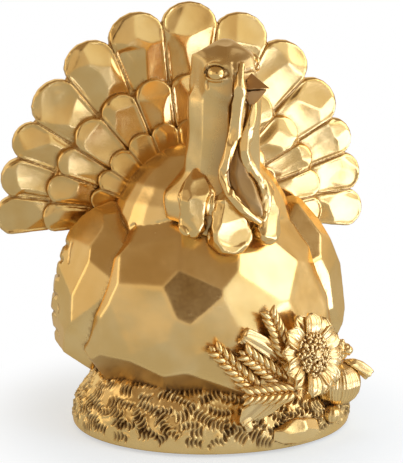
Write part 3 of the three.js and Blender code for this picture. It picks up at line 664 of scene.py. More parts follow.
class Signal:
    """An output of a shader node, which can be added, multiplied and so on."""

    def __init__(self, graph: "Graph", socket: bpy.types.NodeSocket) -> None:
        """Wraps one output socket of a graph."""
        self.graph = graph
        self.socket = socket

    def maths(self, operation: str, first: Any, second: Any) -> "Signal":
        """Adds one Math node."""
        return self.graph.node("ShaderNodeMath", {"operation": operation}, {0: first, 1: second})

    def __add__(self, other: Any) -> "Signal":
        """Sum."""
        return self.maths("ADD", self, other)

    def __radd__(self, other: Any) -> "Signal":
        """Sum, the other way round."""
        return self.maths("ADD", other, self)

    def __sub__(self, other: Any) -> "Signal":
        """Difference."""
        return self.maths("SUBTRACT", self, other)

    def __rsub__(self, other: Any) -> "Signal":
        """Difference, the other way round."""
        return self.maths("SUBTRACT", other, self)

    def __mul__(self, other: Any) -> "Signal":
        """Product."""
        return self.maths("MULTIPLY", self, other)

    def __rmul__(self, other: Any) -> "Signal":
        """Product, the other way round."""
        return self.maths("MULTIPLY", other, self)

    def limited(self, low: float, high: float) -> "Signal":
        """Maps low to high onto 0 to 1, smoothly."""
        inputs = {"Value": self, "From Min": low, "From Max": high}
        return self.graph.node("ShaderNodeMapRange", {"interpolation_type": "SMOOTHSTEP"}, inputs)


class Graph:
    """The nodes of one material or of the world."""

    def __init__(self, tree: bpy.types.NodeTree) -> None:
        """Starts from an empty tree."""
        self.tree = tree
        tree.nodes.clear()

    @classmethod
    def of_material(cls, name: str) -> tuple[bpy.types.Material, "Graph"]:
        """Makes a material with no nodes, and its graph.

        Args:
            name: The material's name.

        Returns:
            The material and the graph.
        """
        made = bpy.data.materials.new(name)
        made.use_nodes = True
        return made, cls(made.node_tree)

    def node(self, kind: str, settings: dict[str, Any] | None = None, inputs: dict[Any, Any] | None = None,
             output: int | str = 0) -> Signal | None:
        """Adds a node.

        Args:
            kind: The node's type.
            settings: Its own settings.
            inputs: Values or signals for its sockets, by name or number.
            output: The socket that the signal comes from.

        Returns:
            The chosen output, or None where the node has none.
        """
        made = self.tree.nodes.new(kind)
        for name, value in (settings or {}).items():
            setattr(made, name, value)
        for name, value in (inputs or {}).items():
            if isinstance(value, Signal):
                self.tree.links.new(value.socket, made.inputs[name])
            else:
                made.inputs[name].default_value = value
        return Signal(self, made.outputs[output]) if len(made.outputs) else None

    def mixed(self, factor: Any, first: Any, second: Any) -> Signal:
        """Mixes two colours."""
        return self.node("ShaderNodeMix", {"data_type": "RGBA"}, {0: factor, 6: first, 7: second}, 2)

    def noise(self, place: Signal, scale: float, detail: float) -> Signal:
        """Adds a noise whose swells are one scale-th of a metre apart."""
        return self.node("ShaderNodeTexNoise", None, {"Vector": place, "Scale": scale, "Detail": detail})


@dataclass(frozen=True)
class GiltPaint:
    """Satin metallic gold brushed over cast resin, darkened to brown in the grooves by antiquing and by
    painted shade.
    """

    name: str
    colour: Colour = (0.79, 0.535, 0.2, 1.0)
    pale: Colour = (0.84, 0.605, 0.265, 1.0)
    wash_and_shade: Colour = (0.22, 0.095, 0.025, 1.0)
    sheen: Colour = (1.0, 0.8, 0.52, 1.0)
    roughness: float = 0.31
    metal: float = 0.95
    coat: float = 0.12
    coat_roughness: float = 0.2
    wash_and_shade_strength: float = 0.7
    wash_and_shade_cover: float = 0.45
    wash_and_shade_dulling: float = 0.22
    drift_scale: float = 48.0
    drift_range: Span = (0.32, 0.68)
    drift_dulling: float = 0.12
    grain_scale: float = 1300.0
    stroke_scale: float = 620.0
    stroke_turn: Triple = (0.5, 0.9, 0.3)
    stroke_squash: Triple = (1.0, 0.12, 1.0)
    stroke_dulling: float = 0.1
    stroke_share: float = 0.7
    brush_strength: float = 0.18
    brush_height: float = 0.00022

    def material(self) -> bpy.types.Material:
        """Makes the paint.

        Returns:
            The material.
        """
        made, graph = Graph.of_material(self.name)
        place = graph.node("ShaderNodeTexCoord", output="Object")
        drift = graph.noise(place, self.drift_scale, 2.0)
        grain = graph.noise(place, self.grain_scale, 3.0)
        slanted = graph.node("ShaderNodeMapping", None, {
            "Vector": place, "Rotation": self.stroke_turn, "Scale": self.stroke_squash})
        strokes = graph.noise(slanted, self.stroke_scale, 2.0)
        # The level read here darkens the gold to brown, duller and less metallic: antiquing in the hollows
        # and painted shade there.
        wash_and_shade = graph.node("ShaderNodeAttribute", {"attribute_name": "wash_and_shade"}, output="Fac")
        wash_and_shade = wash_and_shade * self.wash_and_shade_strength
        gilt = graph.mixed(drift.limited(*self.drift_range), self.colour, self.pale)
        colour = graph.mixed(wash_and_shade, gilt, self.wash_and_shade)
        height = strokes * self.stroke_share + grain * (1 - self.stroke_share)
        bumped = graph.node("ShaderNodeBump", None, {
            "Strength": self.brush_strength, "Distance": self.brush_height, "Height": height})
        usual_dulling = (self.drift_dulling + self.stroke_dulling) / 2
        uneven = self.roughness + self.drift_dulling * drift + self.stroke_dulling * strokes - usual_dulling
        surface = graph.node("ShaderNodeBsdfPrincipled", None, {
            "Base Color": colour,
            "Metallic": self.metal - self.wash_and_shade_cover * wash_and_shade,
            "Roughness": uneven + self.wash_and_shade_dulling * wash_and_shade,
            "Specular Tint": self.sheen,
            "Coat Weight": self.coat,
            "Coat Roughness": self.coat_roughness,
            "Normal": bumped,
        })
        graph.node("ShaderNodeOutputMaterial", None, {"Surface": surface})
        return made


@dataclass(frozen=True)
class Felt:
    """Dark pressed felt."""

    name: str = "felt"
    dark: Colour = (0.008, 0.012, 0.007, 1.0)
    light: Colour = (0.03, 0.04, 0.026, 1.0)
    fibre_scale: float = 1800.0
    clump_scale: float = 220.0
    clump_range: Span = (0.25, 0.75)
    nap_strength: float = 0.6
    nap_height: float = 0.0003
    roughness: float = 0.95
    sheen: float = 0.3

    def material(self) -> bpy.types.Material:
        """Makes the felt.

        Returns:
            The material.
        """
        made, graph = Graph.of_material(self.name)
        place = graph.node("ShaderNodeTexCoord", output="Object")
        fibre = graph.noise(place, self.fibre_scale, 4.0)
        clumps = graph.noise(place, self.clump_scale, 2.0)
        thick = (fibre * clumps * 2.0).limited(*self.clump_range)
        bumped = graph.node("ShaderNodeBump", None, {
            "Strength": self.nap_strength, "Distance": self.nap_height, "Height": fibre})
        surface = graph.node("ShaderNodeBsdfPrincipled", None, {
            "Base Color": graph.mixed(thick, self.dark, self.light),
            "Roughness": self.roughness,
            "Sheen Weight": self.sheen,
            "Normal": bumped,
        })
        graph.node("ShaderNodeOutputMaterial", None, {"Surface": surface})
        return made


PAINTS = {
    Slot.BIRD: GiltPaint("bird_gilt", roughness=0.23),
    Slot.TAIL: GiltPaint("tail_gilt", colour=(0.7, 0.455, 0.155, 1.0), pale=(0.75, 0.525, 0.215, 1.0),
                         wash_and_shade_strength=0.8, roughness=0.23),
    Slot.BEAK: GiltPaint("beak_gilt", colour=(0.56, 0.32, 0.12, 1.0), pale=(0.61, 0.38, 0.17, 1.0)),
    Slot.EYES: GiltPaint("eye_gilt", roughness=0.2),
    # The hay's darkest brown, strongly applied, is both antiquing in its gouges and painted shade there.
    Slot.HAY: GiltPaint("hay_gilt", wash_and_shade=(0.11, 0.046, 0.012, 1.0), wash_and_shade_strength=0.95, roughness=0.22),
    Slot.HARVEST: GiltPaint("harvest_gilt", colour=(0.86, 0.61, 0.255, 1.0), pale=(0.9, 0.67, 0.32, 1.0),
                            wash_and_shade_strength=0.4, roughness=0.23),
    Slot.FELT: Felt(),
}


@dataclass
class SubAssembly:
    """A group of castings that are built and then painted together."""

    pieces: list[Casting] = field(default_factory=list, init=False)

    def keep(self, casting: Casting) -> None:
        """Adds a finished casting and reports it."""
        LOG.info("%s: %d points", casting.thing.name, len(casting.mesh.vertices))
        self.pieces.append(casting)

    def dress(self, paints: dict[Slot, bpy.types.Material], wash_and_shade: WashAndShade) -> None:
        """Paints each casting and marks the brown antiquing and painted shade in its grooves.

        Args:
            paints: The material of each finish.
            wash_and_shade: The antiquing and the painted shade.
        """
        for casting in self.pieces:
            casting.paint(paints[casting.slot])
            wash_and_shade.darken(casting)


@dataclass
class Mound(SubAssembly):
    """The oval mound with hay cut in as clusters of short gouges, and its felt; lengths in millimetres."""

    middle_x: float = 5.0
    half_width: float = 79.0
    half_depth: float = 63.0
    # Each ring's height and its inset from the rim.
    foot: tuple[Span, ...] = ((1.35, 4.0), (1.35, 1.6), (1.7, 0.8), (2.4, 0.3), (3.4, 0.1), (4.4, 0.0))
    rim_height: float = 5.5
    rise: float = 28.0
    squareness: float = 3.0
    top_lift: float = 8.5
    lift_climbs: Span = (0.25, 0.62)
    sides: int = 900
    rows: int = 84
    highest_climb: float = 0.86
    row_spread: float = 1.25
    # Each swell's length and height.
    swells: tuple[Span, ...] = ((24.0, 1.2), (8.0, 0.5))
    even_heights: Span = (2.0, 9.0)
    # Painted shadow of the body with antiquing: the mound darkens towards its top, where the body sits.
    top_wash_and_shadow: float = 0.85
    top_wash_and_shadow_heights: Span = (33.0, 41.0)
    row_climbs: tuple[float, ...] = (0.02, 0.09, 0.165, 0.24, 0.32, 0.41, 0.5, 0.6, 0.7)
    clusters_in_row: int = 34
    bearing_spread: float = 0.17
    climb_spread: float = 0.018
    climb_step: float = 0.02
    slants: Span = (0.1, 0.33)
    bends: Span = (0.5, 1.3)
    gouges: tuple[int, int] = (3, 6)
    gouge_gap: float = 2.3
    gouge_lengths: Span = (4.0, 7.5)
    gouge_shares: Span = (0.75, 1.1)
    gouge_wash_and_shade: Span = (0.85, 1.2)
    # Above this climb the gouges take more painted shadow, under the body.
    dark_climb: float = 0.4
    gouge_reach: float = 7.0
    gouge_half_width: float = 0.85
    gouge_depth: float = 1.5
    lip_place: float = 1.5
    lip_height: float = 0.8
    felt_inset: float = 7.0
    # Each ring's inset from the pad's edge and its height.
    felt_edge: tuple[Span, ...] = ((1.2, 0.0), (0.25, 0.15), (0.0, 0.6), (0.25, 1.05), (1.2, 1.2))

    def surface(self, bearing: Array, climb: float) -> Array:
        """Finds places on the mound at one level.

        Args:
            bearing: Degrees round from the front.
            climb: From 0 at the rim to 1 at the top.

        Returns:
            The places in millimetres.
        """
        power = 2 / self.squareness
        across, upward = math.cos(climb * math.pi / 2) ** power, math.sin(climb * math.pi / 2) ** power
        turn = np.radians(bearing)
        lifted = self.top_lift * float(ease(*self.lift_climbs, np.array(climb)))
        height = self.rim_height + self.rise * upward + lifted
        return np.stack([self.middle_x + self.half_width * across * np.sin(turn),
                         -self.half_depth * across * np.cos(turn), np.full_like(turn, height)], axis=-1)

    def earth(self) -> Casting:
        """Makes the uneven mound before the hay is cut into it.

        Returns:
            The mound.
        """
        bearing = np.arange(self.sides) * 360.0 / self.sides
        rim = self.surface(bearing, 0.0)
        outward = unit((rim - (self.middle_x, 0, 0)) * (1, 1, 0))
        rings = []
        for height, inset in self.foot:
            ring = rim - outward * inset
            ring[:, 2] = height
            rings.append(ring)
        climbs = self.highest_climb * np.linspace(0, 1, self.rows) ** self.row_spread
        rings += [self.surface(bearing, climb) for climb in climbs]
        clay = Clay()
        clay.tube(np.stack(rings) * MM)
        earth = Casting("mound", clay.mesh("mound"), Slot.HAY, ["base"])
        places = earth.points
        high = places[:, 2] / MM
        uneven = sum(ripple(places, length * MM, seed) * height
                     for seed, (length, height) in enumerate(self.swells, 3))
        # Painted shadow of the body and antiquing, darker towards the mound's top.
        earth.wash_and_shade_level = self.top_wash_and_shadow * ease(*self.top_wash_and_shadow_heights, high)
        return earth.push(uneven * ease(*self.even_heights, high) * MM).relax(2)

    def hay(self, earth: Casting) -> None:
        """Cuts clusters of curved gouges into the mound.

        Args:
            earth: The mound.
        """
        chance = np.random.default_rng(11)
        places, cut = earth.points, np.zeros(len(earth.wash_and_shade_level))
        for row, climb in enumerate(self.row_climbs):
            for spot in range(self.clusters_in_row):
                place = spot + 0.5 * (row % 2) + chance.normal(0.0, self.bearing_spread)
                bearing = place * 360 / self.clusters_in_row
                here = climb + chance.normal(0.0, self.climb_spread)
                low, high, beside, level_start = (
                    self.surface(np.array(bearing + turn), max(0.0, here + step))
                    for turn, step in ((0, -self.climb_step), (0, self.climb_step), (1, 0), (0, 0)))
                upward, level = unit(high - low), unit(beside - level_start)
                slant = chance.normal(*self.slants)
                bend = chance.uniform(*self.bends) * chance.choice((-1, 1))
                along = math.cos(slant) * upward + math.sin(slant) * level
                sideways = math.cos(slant) * level - math.sin(slant) * upward
                length = chance.uniform(*self.gouge_lengths)
                count = int(chance.integers(*self.gouges))
                # Each gouge takes antiquing and painted shade, more of it higher up where the body's shadow
                # falls.
                wash_and_shade_level = chance.uniform(*self.gouge_wash_and_shade) + 0.4 * max(0.0, climb - self.dark_climb)
                share = np.linspace(-0.5, 0.5, 6)
                bow = np.outer(bend * (1 - 4 * share ** 2), sideways)
                for number in range(count):
                    middle = (low + high) / 2 + sideways * (number - (count - 1) / 2) * self.gouge_gap
                    size = length * chance.uniform(*self.gouge_shares)
                    start = middle + along * chance.normal(0.0, 0.5)
                    path = (start + np.outer(share * size, along) + bow) * MM
                    self.gouge(earth, places, cut, path, sideways, wash_and_shade_level)
        earth.push(cut * MM)

    def gouge(self, earth: Casting, places: Array, cut: Array, path: Array, sideways: Array,
              wash_and_shade_level: float) -> None:
        """Adds one gouge with a raised lip beside it.

        Args:
            earth: The mound.
            places: The mound's points before it is cut.
            cut: How far each point moves outwards in millimetres, which this changes.
            path: The gouge's middle line.
            sideways: The side that the lip is on.
            wash_and_shade_level: How much antiquing and painted shade it takes.
        """
        close = np.abs(places - path[len(path) // 2]) < self.gouge_reach * MM
        near = np.flatnonzero(close.all(axis=1))
        off = places[near] - path.mean(axis=0)
        chord = path[-1] - path[0]
        out = np.cross(unit(chord), sideways)
        flat = places[near] - np.outer(off @ out, out)
        half = np.linalg.norm(chord) / 2
        lens = np.sqrt(np.clip(1 - (off @ unit(chord) / half) ** 2, 0.04, 1.0))
        width = self.gouge_half_width * MM
        away = path_distance(flat, path) / (width * lens)
        lip = path_distance(flat, path + sideways * self.lip_place * width) / width
        groove = lens * np.exp(-away ** 2)
        cut[near] += self.lip_height * lens * np.exp(-lip ** 2) - self.gouge_depth * groove
        earth.wash_and_shade_level[near] = np.maximum(earth.wash_and_shade_level[near], wash_and_shade_level * groove)

    def felt(self) -> Casting:
        """Makes the felt pad.

        Returns:
            The pad.
        """
        turn = np.linspace(0, 2 * math.pi, 120, endpoint=False)
        half = np.array([self.half_width - self.felt_inset, self.half_depth - self.felt_inset])
        wave = 1 + 0.004 * np.sin(9 * turn) + 0.003 * np.sin(23 * turn + 1.0)
        rings = []
        for inset, height in self.felt_edge:
            ring = np.stack([self.middle_x + (half[0] - inset) * np.cos(turn) * wave,
                             (half[1] - inset) * np.sin(turn) * wave, np.full_like(turn, height)], axis=1)
            rings.append(ring * MM)
        clay = Clay()
        clay.tube(np.stack(rings))
        pad = Casting("felt_sheet", clay.mesh("felt_sheet"), Slot.FELT, ["felt_pad"])
        return pad

    def build(self) -> None:
        """Builds the mound with its hay, and its felt."""
        earth = self.earth()
        self.hay(earth)
        self.keep(earth)
        self.keep(self.felt())


@dataclass
class Body(SubAssembly):
    """The faceted body with its arched back, the wings and the rump; lengths in millimetres."""

    middle: Triple = (0.0, 0.0, 53.7)
    halves: Triple = (71.6, 55.6, 78.2)
    drop: float = 75.0
    facet_size: float = 21.5
    # The bearings and lifts of the breast's main facets.
    first_facets: tuple[Span, ...] = (
        (-16, 18), (-3, 21), (-9, 32), (-25, 30), (-31, 15), (-21, 5), (-6, 7), (10, 15))
    wing_middle: Triple = (59.0, 17.0, 79.0)
    wing_halves: Triple = (21.8, 35.6, 43.6)
    wing_lean: float = 14.0
    wing_facet_size: float = 17.0
    seam_place: float = 0.6
    seam_width: float = 1.3
    seam_wash_and_shade_width: float = 1.2
    seam_depth: float = 1.1
    tail_front: float = 30.0
    tail_floor: float = 90.0
    notch_heights: tuple[float, ...] = (104.0, 94.0, 83.0, 72.0, 61.0, 50.0)
    # Places along a notch on the bird's left, with heights from the notch's own.
    notch_line: tuple[Triple, ...] = ((82.0, 46.0, -3.0), (86.0, 26.0, 0.0), (85.0, 12.0, 1.5))
    # A cut has half its width, its depth and its share of antiquing and painted shade.
    notch_cut: Triple = (1.3, 1.4, 0.5)
    dashes: int = 14
    dash_reach: float = 86.0
    dash_depths: Span = (6.0, 34.0)
    dash_heights: Span = (46.0, 108.0)
    dash_cut: Triple = (0.7, 0.6, 0.6)
    undercuts: int = 14
    undercut_heights: Span = (50.0, 44.0)
    undercut_lift: float = -36.0
    # Painted shade on the low facets that face down, standing in for the dark hay they mirror.
    undercut_shade: float = 0.55
    undercut_shade_slopes: Span = (0.36, 0.5)
    undercut_shade_fade: Span = (2.0, 6.0)
    bunch_bearings: Span = (0.0, 62.0)
    seat_height: float = 24.0

    def undercut_planes(self) -> Iterable[tuple[Array, float]]:
        """Gives the planes of the slanting facets under the body's lowest edge, then its flat seat.

        Returns:
            Each plane's outward direction and its distance from the body's middle.
        """
        wide, deep, _ = self.halves
        for number in range(self.undercuts):
            bearing = (number + 0.3) * 360 / self.undercuts
            height = self.undercut_heights[number % 2] - self.middle[2]
            if self.bunch_bearings[0] < bearing < self.bunch_bearings[1]:
                continue
            out, facing = heading(bearing), heading(bearing, self.undercut_lift)
            level = np.array([wide ** 2 * out[0], deep ** 2 * out[1], 0.0])
            level *= math.sqrt(1 - (height / self.drop) ** 2) / math.hypot(wide * out[0], deep * out[1])
            yield facing, float((level + UP * height) @ facing)
        yield -UP, self.middle[2] - self.seat_height

    def wing(self, node: str, side: int) -> Casting:
        """Carves one wing, which sinks into the body along a clean line.

        Args:
            node: Its solid.
            side: -1 for the bird's right, 1 for its left.

        Returns:
            The wing.
        """
        clay = Clay()
        lean = math.radians(self.wing_lean)
        egg = clay.hewn(self.wing_halves, self.wing_halves[2], self.wing_facet_size, 41 + side)
        x, y, z = np.moveaxis(egg, -1, 0)
        across, upward = x * math.cos(lean) - z * math.sin(lean), z * math.cos(lean) + x * math.sin(lean)
        places = np.stack([side * (across + self.wing_middle[0]), y + self.wing_middle[1],
                           upward + self.wing_middle[2]], axis=2)
        front = np.minimum(places[..., 1], self.tail_front)
        places[..., 1] = np.where(places[..., 2] > self.tail_floor, front, places[..., 1])
        clay.tube(places[:, ::side] * MM)
        wing = Casting.over([node], voxel=0.9, slot=Slot.BIRD, added=clay, solids=())
        wing.relax(3).weather(seed=43, swell=0.2)
        for height in self.notch_heights:
            stations = [(side * x, y, height + higher) for x, y, higher in self.notch_line]
            wing.carve(wing.snapped(curve(stations, 16) * MM), *self.notch_cut)
        chance = np.random.default_rng(5)
        for _ in range(self.dashes):
            depth, height = chance.uniform(*self.dash_depths), chance.uniform(*self.dash_heights)
            start = np.array([side * self.dash_reach, depth, height])
            end = start + np.array([-side * 2, chance.uniform(-3, 1), -chance.uniform(4, 8)])
            wing.carve(wing.snapped(curve([start, end], 5) * MM), *self.dash_cut)
        return wing

    def seam(self, body: Casting, side: int) -> None:
        """Cuts the crease where the body meets a wing.

        Args:
            body: The body.
            side: -1 for the bird's right, 1 for its left.
        """
        off = body.points / MM * (side, 1, 1) - self.wing_middle
        lean = math.radians(self.wing_lean)
        own = np.stack([off[:, 0] * math.cos(lean) + off[:, 2] * math.sin(lean), off[:, 1],
                        off[:, 2] * math.cos(lean) - off[:, 0] * math.sin(lean)], axis=1) / self.wing_halves
        away = (np.linalg.norm(own, axis=1) - 1) * float(np.mean(self.wing_halves))
        from_seam = away - self.seam_place
        # The crease is darkened with antiquing and painted shade.
        body.wash_and_shade_level = np.maximum(body.wash_and_shade_level, np.exp(-(from_seam / self.seam_wash_and_shade_width) ** 2))
        body.push(-self.seam_depth * np.exp(-(from_seam / self.seam_width) ** 2) * MM)

    def build(self) -> None:
        """Builds the body's castings."""
        clay = Clay()
        egg = clay.hewn(self.halves, self.drop, self.facet_size, 2, self.first_facets, self.undercut_planes())
        clay.tube((egg + self.middle) * MM)
        nodes = ["body", "upper_back"]
        body = Casting.over(nodes, voxel=0.9, slot=Slot.BIRD, added=clay, solids=["upper_back"])
        body.relax(4).weather(seed=1, swell=0.25, dimple=0.04)
        # Painted shade: low, downward-facing facets are darkened as though mirroring the dark hay below.
        above = body.points[:, 2] / MM - self.undercut_heights[0]
        low = 1 - ease(*self.undercut_shade_fade, above)
        body.wash_and_shade_level = self.undercut_shade * low * ease(*self.undercut_shade_slopes, -body.normals[:, 2])
        self.seam(body, -1)
        self.seam(body, 1)
        self.keep(body)
        self.keep(self.wing("right_wing", -1))
        self.keep(self.wing("left_wing", 1))
        rump = Casting.over(["rump"], voxel=1.1, slot=Slot.BIRD).relax(5)
        self.keep(rump.facet(size=17.0, seed=9).relax(3).weather(seed=9, swell=0.2))


@dataclass
class Head(SubAssembly):
    """The neck and head in one skin, the breast shields, eyes, beak and hanging folds; in millimetres."""

    middle: Triple = (1.5, -23.0, 200.0)
    eye_bearings: Span = (-28.0, 118.0)
    eye_lift: float = 16.0
    eye_reach: float = 18.8
    lid_half_length: float = 7.0
    lid_half_height: float = 4.8
    lid_steps: int = 15
    # Each rim's share of the lid's height and its thickness.
    lid_rims: tuple[Span, ...] = ((1.0, 1.5), (-0.8, 1.1))
    lid_creases: Span = (-0.55, 0.62)
    lid_crease_length: float = 0.86
    # The lid creases' cut: half its width, its depth and its share of antiquing and painted shade.
    lid_cut: Triple = (0.8, 0.8, 0.95)
    beak_bearing: float = 30.0
    beak_root: float = 20.0
    beak_drop: float = 5.2
    beak_shortening: float = 0.82
    foot_height: float = 152.0
    crown_height: float = 212.0
    crown_flatness: float = 0.78
    # Painted shade darkens the crown, the top of the head.
    crown_shade: float = 0.55
    # Painted shadow on the neck beside the near fold, fading over the reach below.
    fold_shadow: float = 0.65
    fold_shadow_reach: Span = (3.0, 15.0)
    fold_facing: float = 75.0
    fold_steps: int = 40
    near_fold: tuple[Triple, ...] = (
        (5.6, -41.0, 211.0), (3.8, -46.0, 199.5), (4.0, -44.0, 188.5), (3.0, -43.4, 177.2),
        (0.5, -44.2, 167.2), (-2.0, -44.6, 159.0), (-3.4, -44.6, 152.5), (-2.4, -46.4, 145.5),
        (2.2, -50.2, 138.5), (8.5, -50.6, 132.0), (16.4, -47.2, 125.8))
    near_half_widths: tuple[float, ...] = (1.5, 3.2, 3.7, 3.6, 3.2, 2.9, 2.6, 2.5, 2.6, 2.8, 2.0)
    far_fold: tuple[Triple, ...] = (
        (13.2, -40.0, 190.3), (11.2, -42.2, 180.8), (8.8, -43.2, 170.9), (8.6, -43.6, 162.7),
        (12.2, -43.0, 154.1), (17.6, -41.0, 145.4), (20.4, -41.6, 137.5), (19.0, -44.2, 130.0),
        (16.8, -46.6, 126.0))
    far_half_widths: tuple[float, ...] = (1.6, 2.8, 3.4, 3.3, 3.4, 3.4, 3.5, 3.2, 2.0)
    web_line: tuple[Triple, ...] = (
        (5.5, -40.5, 166.0), (5.0, -42.0, 156.0), (7.5, -43.5, 146.0), (12.0, -45.0, 136.0),
        (16.0, -45.5, 128.0))
    web_steps: int = 15
    web_half_height: float = 2.2
    # Painted shade in the sunk web, deeper towards its top.
    web_shade: float = 0.7
    web_shade_rise: float = 0.55
    # Places counted from the middle of the head, and the cut along them: half its width, its depth and its
    # share of antiquing and painted shade.
    creases: tuple[tuple[tuple[Triple, ...], Triple], ...] = (
        (((-16, -15, 11), (-18, -14, 4.7), (-15.5, -15.5, -2)), (1.0, 0.8, 0.8)),
        (((-0.7, -20, 12), (-0.5, -22, 2.6), (-0.1, -22, -8), (0.2, -20, -21)), (0.9, 1.0, 0.9)),
        (((0, -22, 4), (4.3, -20, 6.5), (11, -15, 6.5)), (1.0, 1.2, 0.9)))
    # Each shield's side, its root's shift and half width, and its seed.
    shields: tuple[tuple[str, float, float, int], ...] = (
        ("right", 6.5, 15.0, 55), ("middle", -1.0, 9.5, 52), ("left", 0.5, 8.0, 53))
    shield_half_height: float = 6.5

    def lid(self, bearing: float, height: float, shrink: float = 1.0) -> tuple[Array, Array, Array]:
        """Draws the line of one lid.

        Args:
            bearing: Where the eye is.
            height: How far the lid bows up, or down where it is below zero.
            shrink: The share of the full length.

        Returns:
            The line's points in millimetres, the way out of the head there, and the share of the bow.
        """
        out = heading(bearing, self.eye_lift)
        across = unit(np.cross(UP, out))
        upward = np.cross(out, across)
        share = np.linspace(-1.0, 1.0, self.lid_steps)
        bow = np.sqrt(np.maximum(1 - share ** 2, 0.0))
        centre = np.array(self.middle) + out * self.eye_reach
        line = centre + np.outer(share * self.lid_half_length * shrink, across)
        return line + np.outer(bow * height, upward) + np.outer(0.6 + 1.6 * bow, out), out, bow

    def forms(self) -> Clay:
        """Models the lids of both eyes.

        Returns:
            The lids.
        """
        clay = Clay()
        for bearing, (share, thickness) in itertools.product(self.eye_bearings, self.lid_rims):
            line, out, bow = self.lid(bearing, share * self.lid_half_height)
            taper = thickness * (0.3 + 0.7 * bow)
            clay.tube(sweep(line * MM, out, 1.4 * taper * MM, taper * MM, 10))
        return clay

    def shield(self, side: str, shift: float, half_width: float, seed: int) -> Casting:
        """Makes one breast shield with a broad root that runs up into the neck.

        Args:
            side: Which shield.
            shift: How far its root leans sideways.
            half_width: Half the root's width.
            seed: Picks its facets.

        Returns:
            The shield.
        """
        node = f"breast_lobe_{side}"
        low = node_points(node).mean(axis=0) / MM
        path = curve([low + (shift, 1.5, -2), low + (shift, 3.0, 9), low + (shift, 9.0, 22)], 11)
        plump = np.sin(np.linspace(0.9, math.pi - 0.3, 11))
        across = np.array([1.0, 0.25, 0.0])
        clay = Clay()
        clay.tube(sweep(path * MM, across, half_width * plump * MM, self.shield_half_height * plump * MM, 14))
        made = Casting.over([node], voxel=0.6, slot=Slot.BIRD, added=clay).relax(4)
        return made.facet(size=9.5, seed=seed, deepest=0.8).relax(3).weather(seed, swell=0.15)

    def fold(self, nodes: Sequence[str], stations: Sequence[Sequence[float]], half_widths: Sequence[float],
             seed: int) -> Casting:
        """Makes one hanging fold of skin.

        Args:
            nodes: The solids it stands for.
            stations: The places along its middle.
            half_widths: Half its width at each of them.
            seed: Picks its unevenness.

        Returns:
            The fold.
        """
        path = curve(stations, self.fold_steps)
        share = np.linspace(0, 1, self.fold_steps)
        wide = np.interp(share, np.linspace(0, 1, len(half_widths)), half_widths)
        clay = Clay()
        clay.tube(sweep(path * MM, heading(self.fold_facing), wide * MM, (0.55 * wide + 1.0) * MM, 10))
        made = Casting.over(nodes, voxel=0.55, slot=Slot.BIRD, added=clay, solids=())
        return made.facet(size=11.0, seed=seed, deepest=0.6).relax(3).weather(seed, swell=0.2, dimple=0.04)

    def web(self) -> Casting:
        """Makes the sunk web between the two folds, darkened with painted shade that deepens towards its top.

        Returns:
            The web.
        """
        share = np.linspace(0.05, 0.95, self.web_steps)
        wide = np.interp(share, (0.0, 0.45, 0.8, 1.0), (1.5, 6.0, 5.5, 2.0))
        path = curve(self.web_line, self.web_steps) * MM
        thick = np.full(self.web_steps, self.web_half_height * MM)
        clay = Clay()
        clay.tube(sweep(path, heading(self.fold_facing), wide * MM, thick, 12))
        made = Casting.over(["wattle_right"], voxel=0.6, slot=Slot.BIRD, added=clay, solids=())
        high = made.points[:, 2]
        # Painted shade in the recess, deeper towards the top.
        made.wash_and_shade_level = self.web_shade + self.web_shade_rise * (high - high.min()) / (high.max() - high.min())
        return made.facet(size=10.0, seed=73, deepest=0.7).relax(3)

    def skin(self) -> Casting:
        """Carves the skin of the neck and head.

        Returns:
            The skin.
        """
        skin = Casting.over(["head", "neck"], voxel=0.75, slot=Slot.BIRD, added=self.forms()).relax(6)
        high = skin.points[:, 2] / MM
        above = np.maximum(high - self.crown_height, 0.0) * (1 - self.crown_flatness)
        skin.points = skin.points - np.outer(above * MM, UP)
        soft = np.maximum(ease(self.crown_height, self.crown_height + 5, high),
                          1 - ease(self.foot_height - 12, self.foot_height, high))
        skin.relax(60, 0.5 * soft).weather(seed=21, swell=0.5, dimple=0.05)
        crown = ease(self.crown_height - 1, self.crown_height + 4, high)
        skin.facet(size=11.0, seed=25, tilt=10.0, deepest=1.0, share=crown).relax(3)
        beside = path_distance(skin.points, curve(self.near_fold, 24) * MM) / MM
        by_fold = 1 - ease(*self.fold_shadow_reach, beside)
        # Painted shade on the crown and painted shadow on the neck beside the near fold.
        skin.wash_and_shade_level = np.maximum(self.crown_shade * crown, self.fold_shadow * by_fold)
        for stations, cut in self.creases:
            path = (curve(stations, 18) + np.array(self.middle)) * MM
            skin.carve(skin.snapped(path), *cut)
        for bearing, share in itertools.product(self.eye_bearings, self.lid_creases):
            line = self.lid(bearing, share * self.lid_half_height, self.lid_crease_length)[0]
            skin.carve(skin.snapped(line * MM), *self.lid_cut)
        return skin

    def build(self) -> None:
        """Builds the castings of the head."""
        self.keep(self.skin())
        for shield in self.shields:
            self.keep(self.shield(*shield))
        for node in ("right_eye", "left_eye"):
            self.keep(Casting.over([node], voxel=0.4, slot=Slot.EYES).relax(4))
        forward = heading(self.beak_bearing)
        root = np.array(self.middle) + forward * self.beak_root
        for seed, (half, height) in enumerate((("upper_beak", 1.0), ("lower_beak", 1.35)), 60):
            beak = Casting.over([half], voxel=0.5, slot=Slot.BEAK)
            beak.stretch(root + UP * 4, UP, height, -UP * self.beak_drop)
            beak.stretch(root, forward, self.beak_shortening, np.zeros(3))
            self.keep(beak.relax(3).weather(seed, swell=0.3))
        self.keep(self.fold(["wattle_right", "snood"], self.near_fold, self.near_half_widths, 71))
        self.keep(self.fold(["wattle_left"], self.far_fold, self.far_half_widths, 72))
        self.keep(self.web())


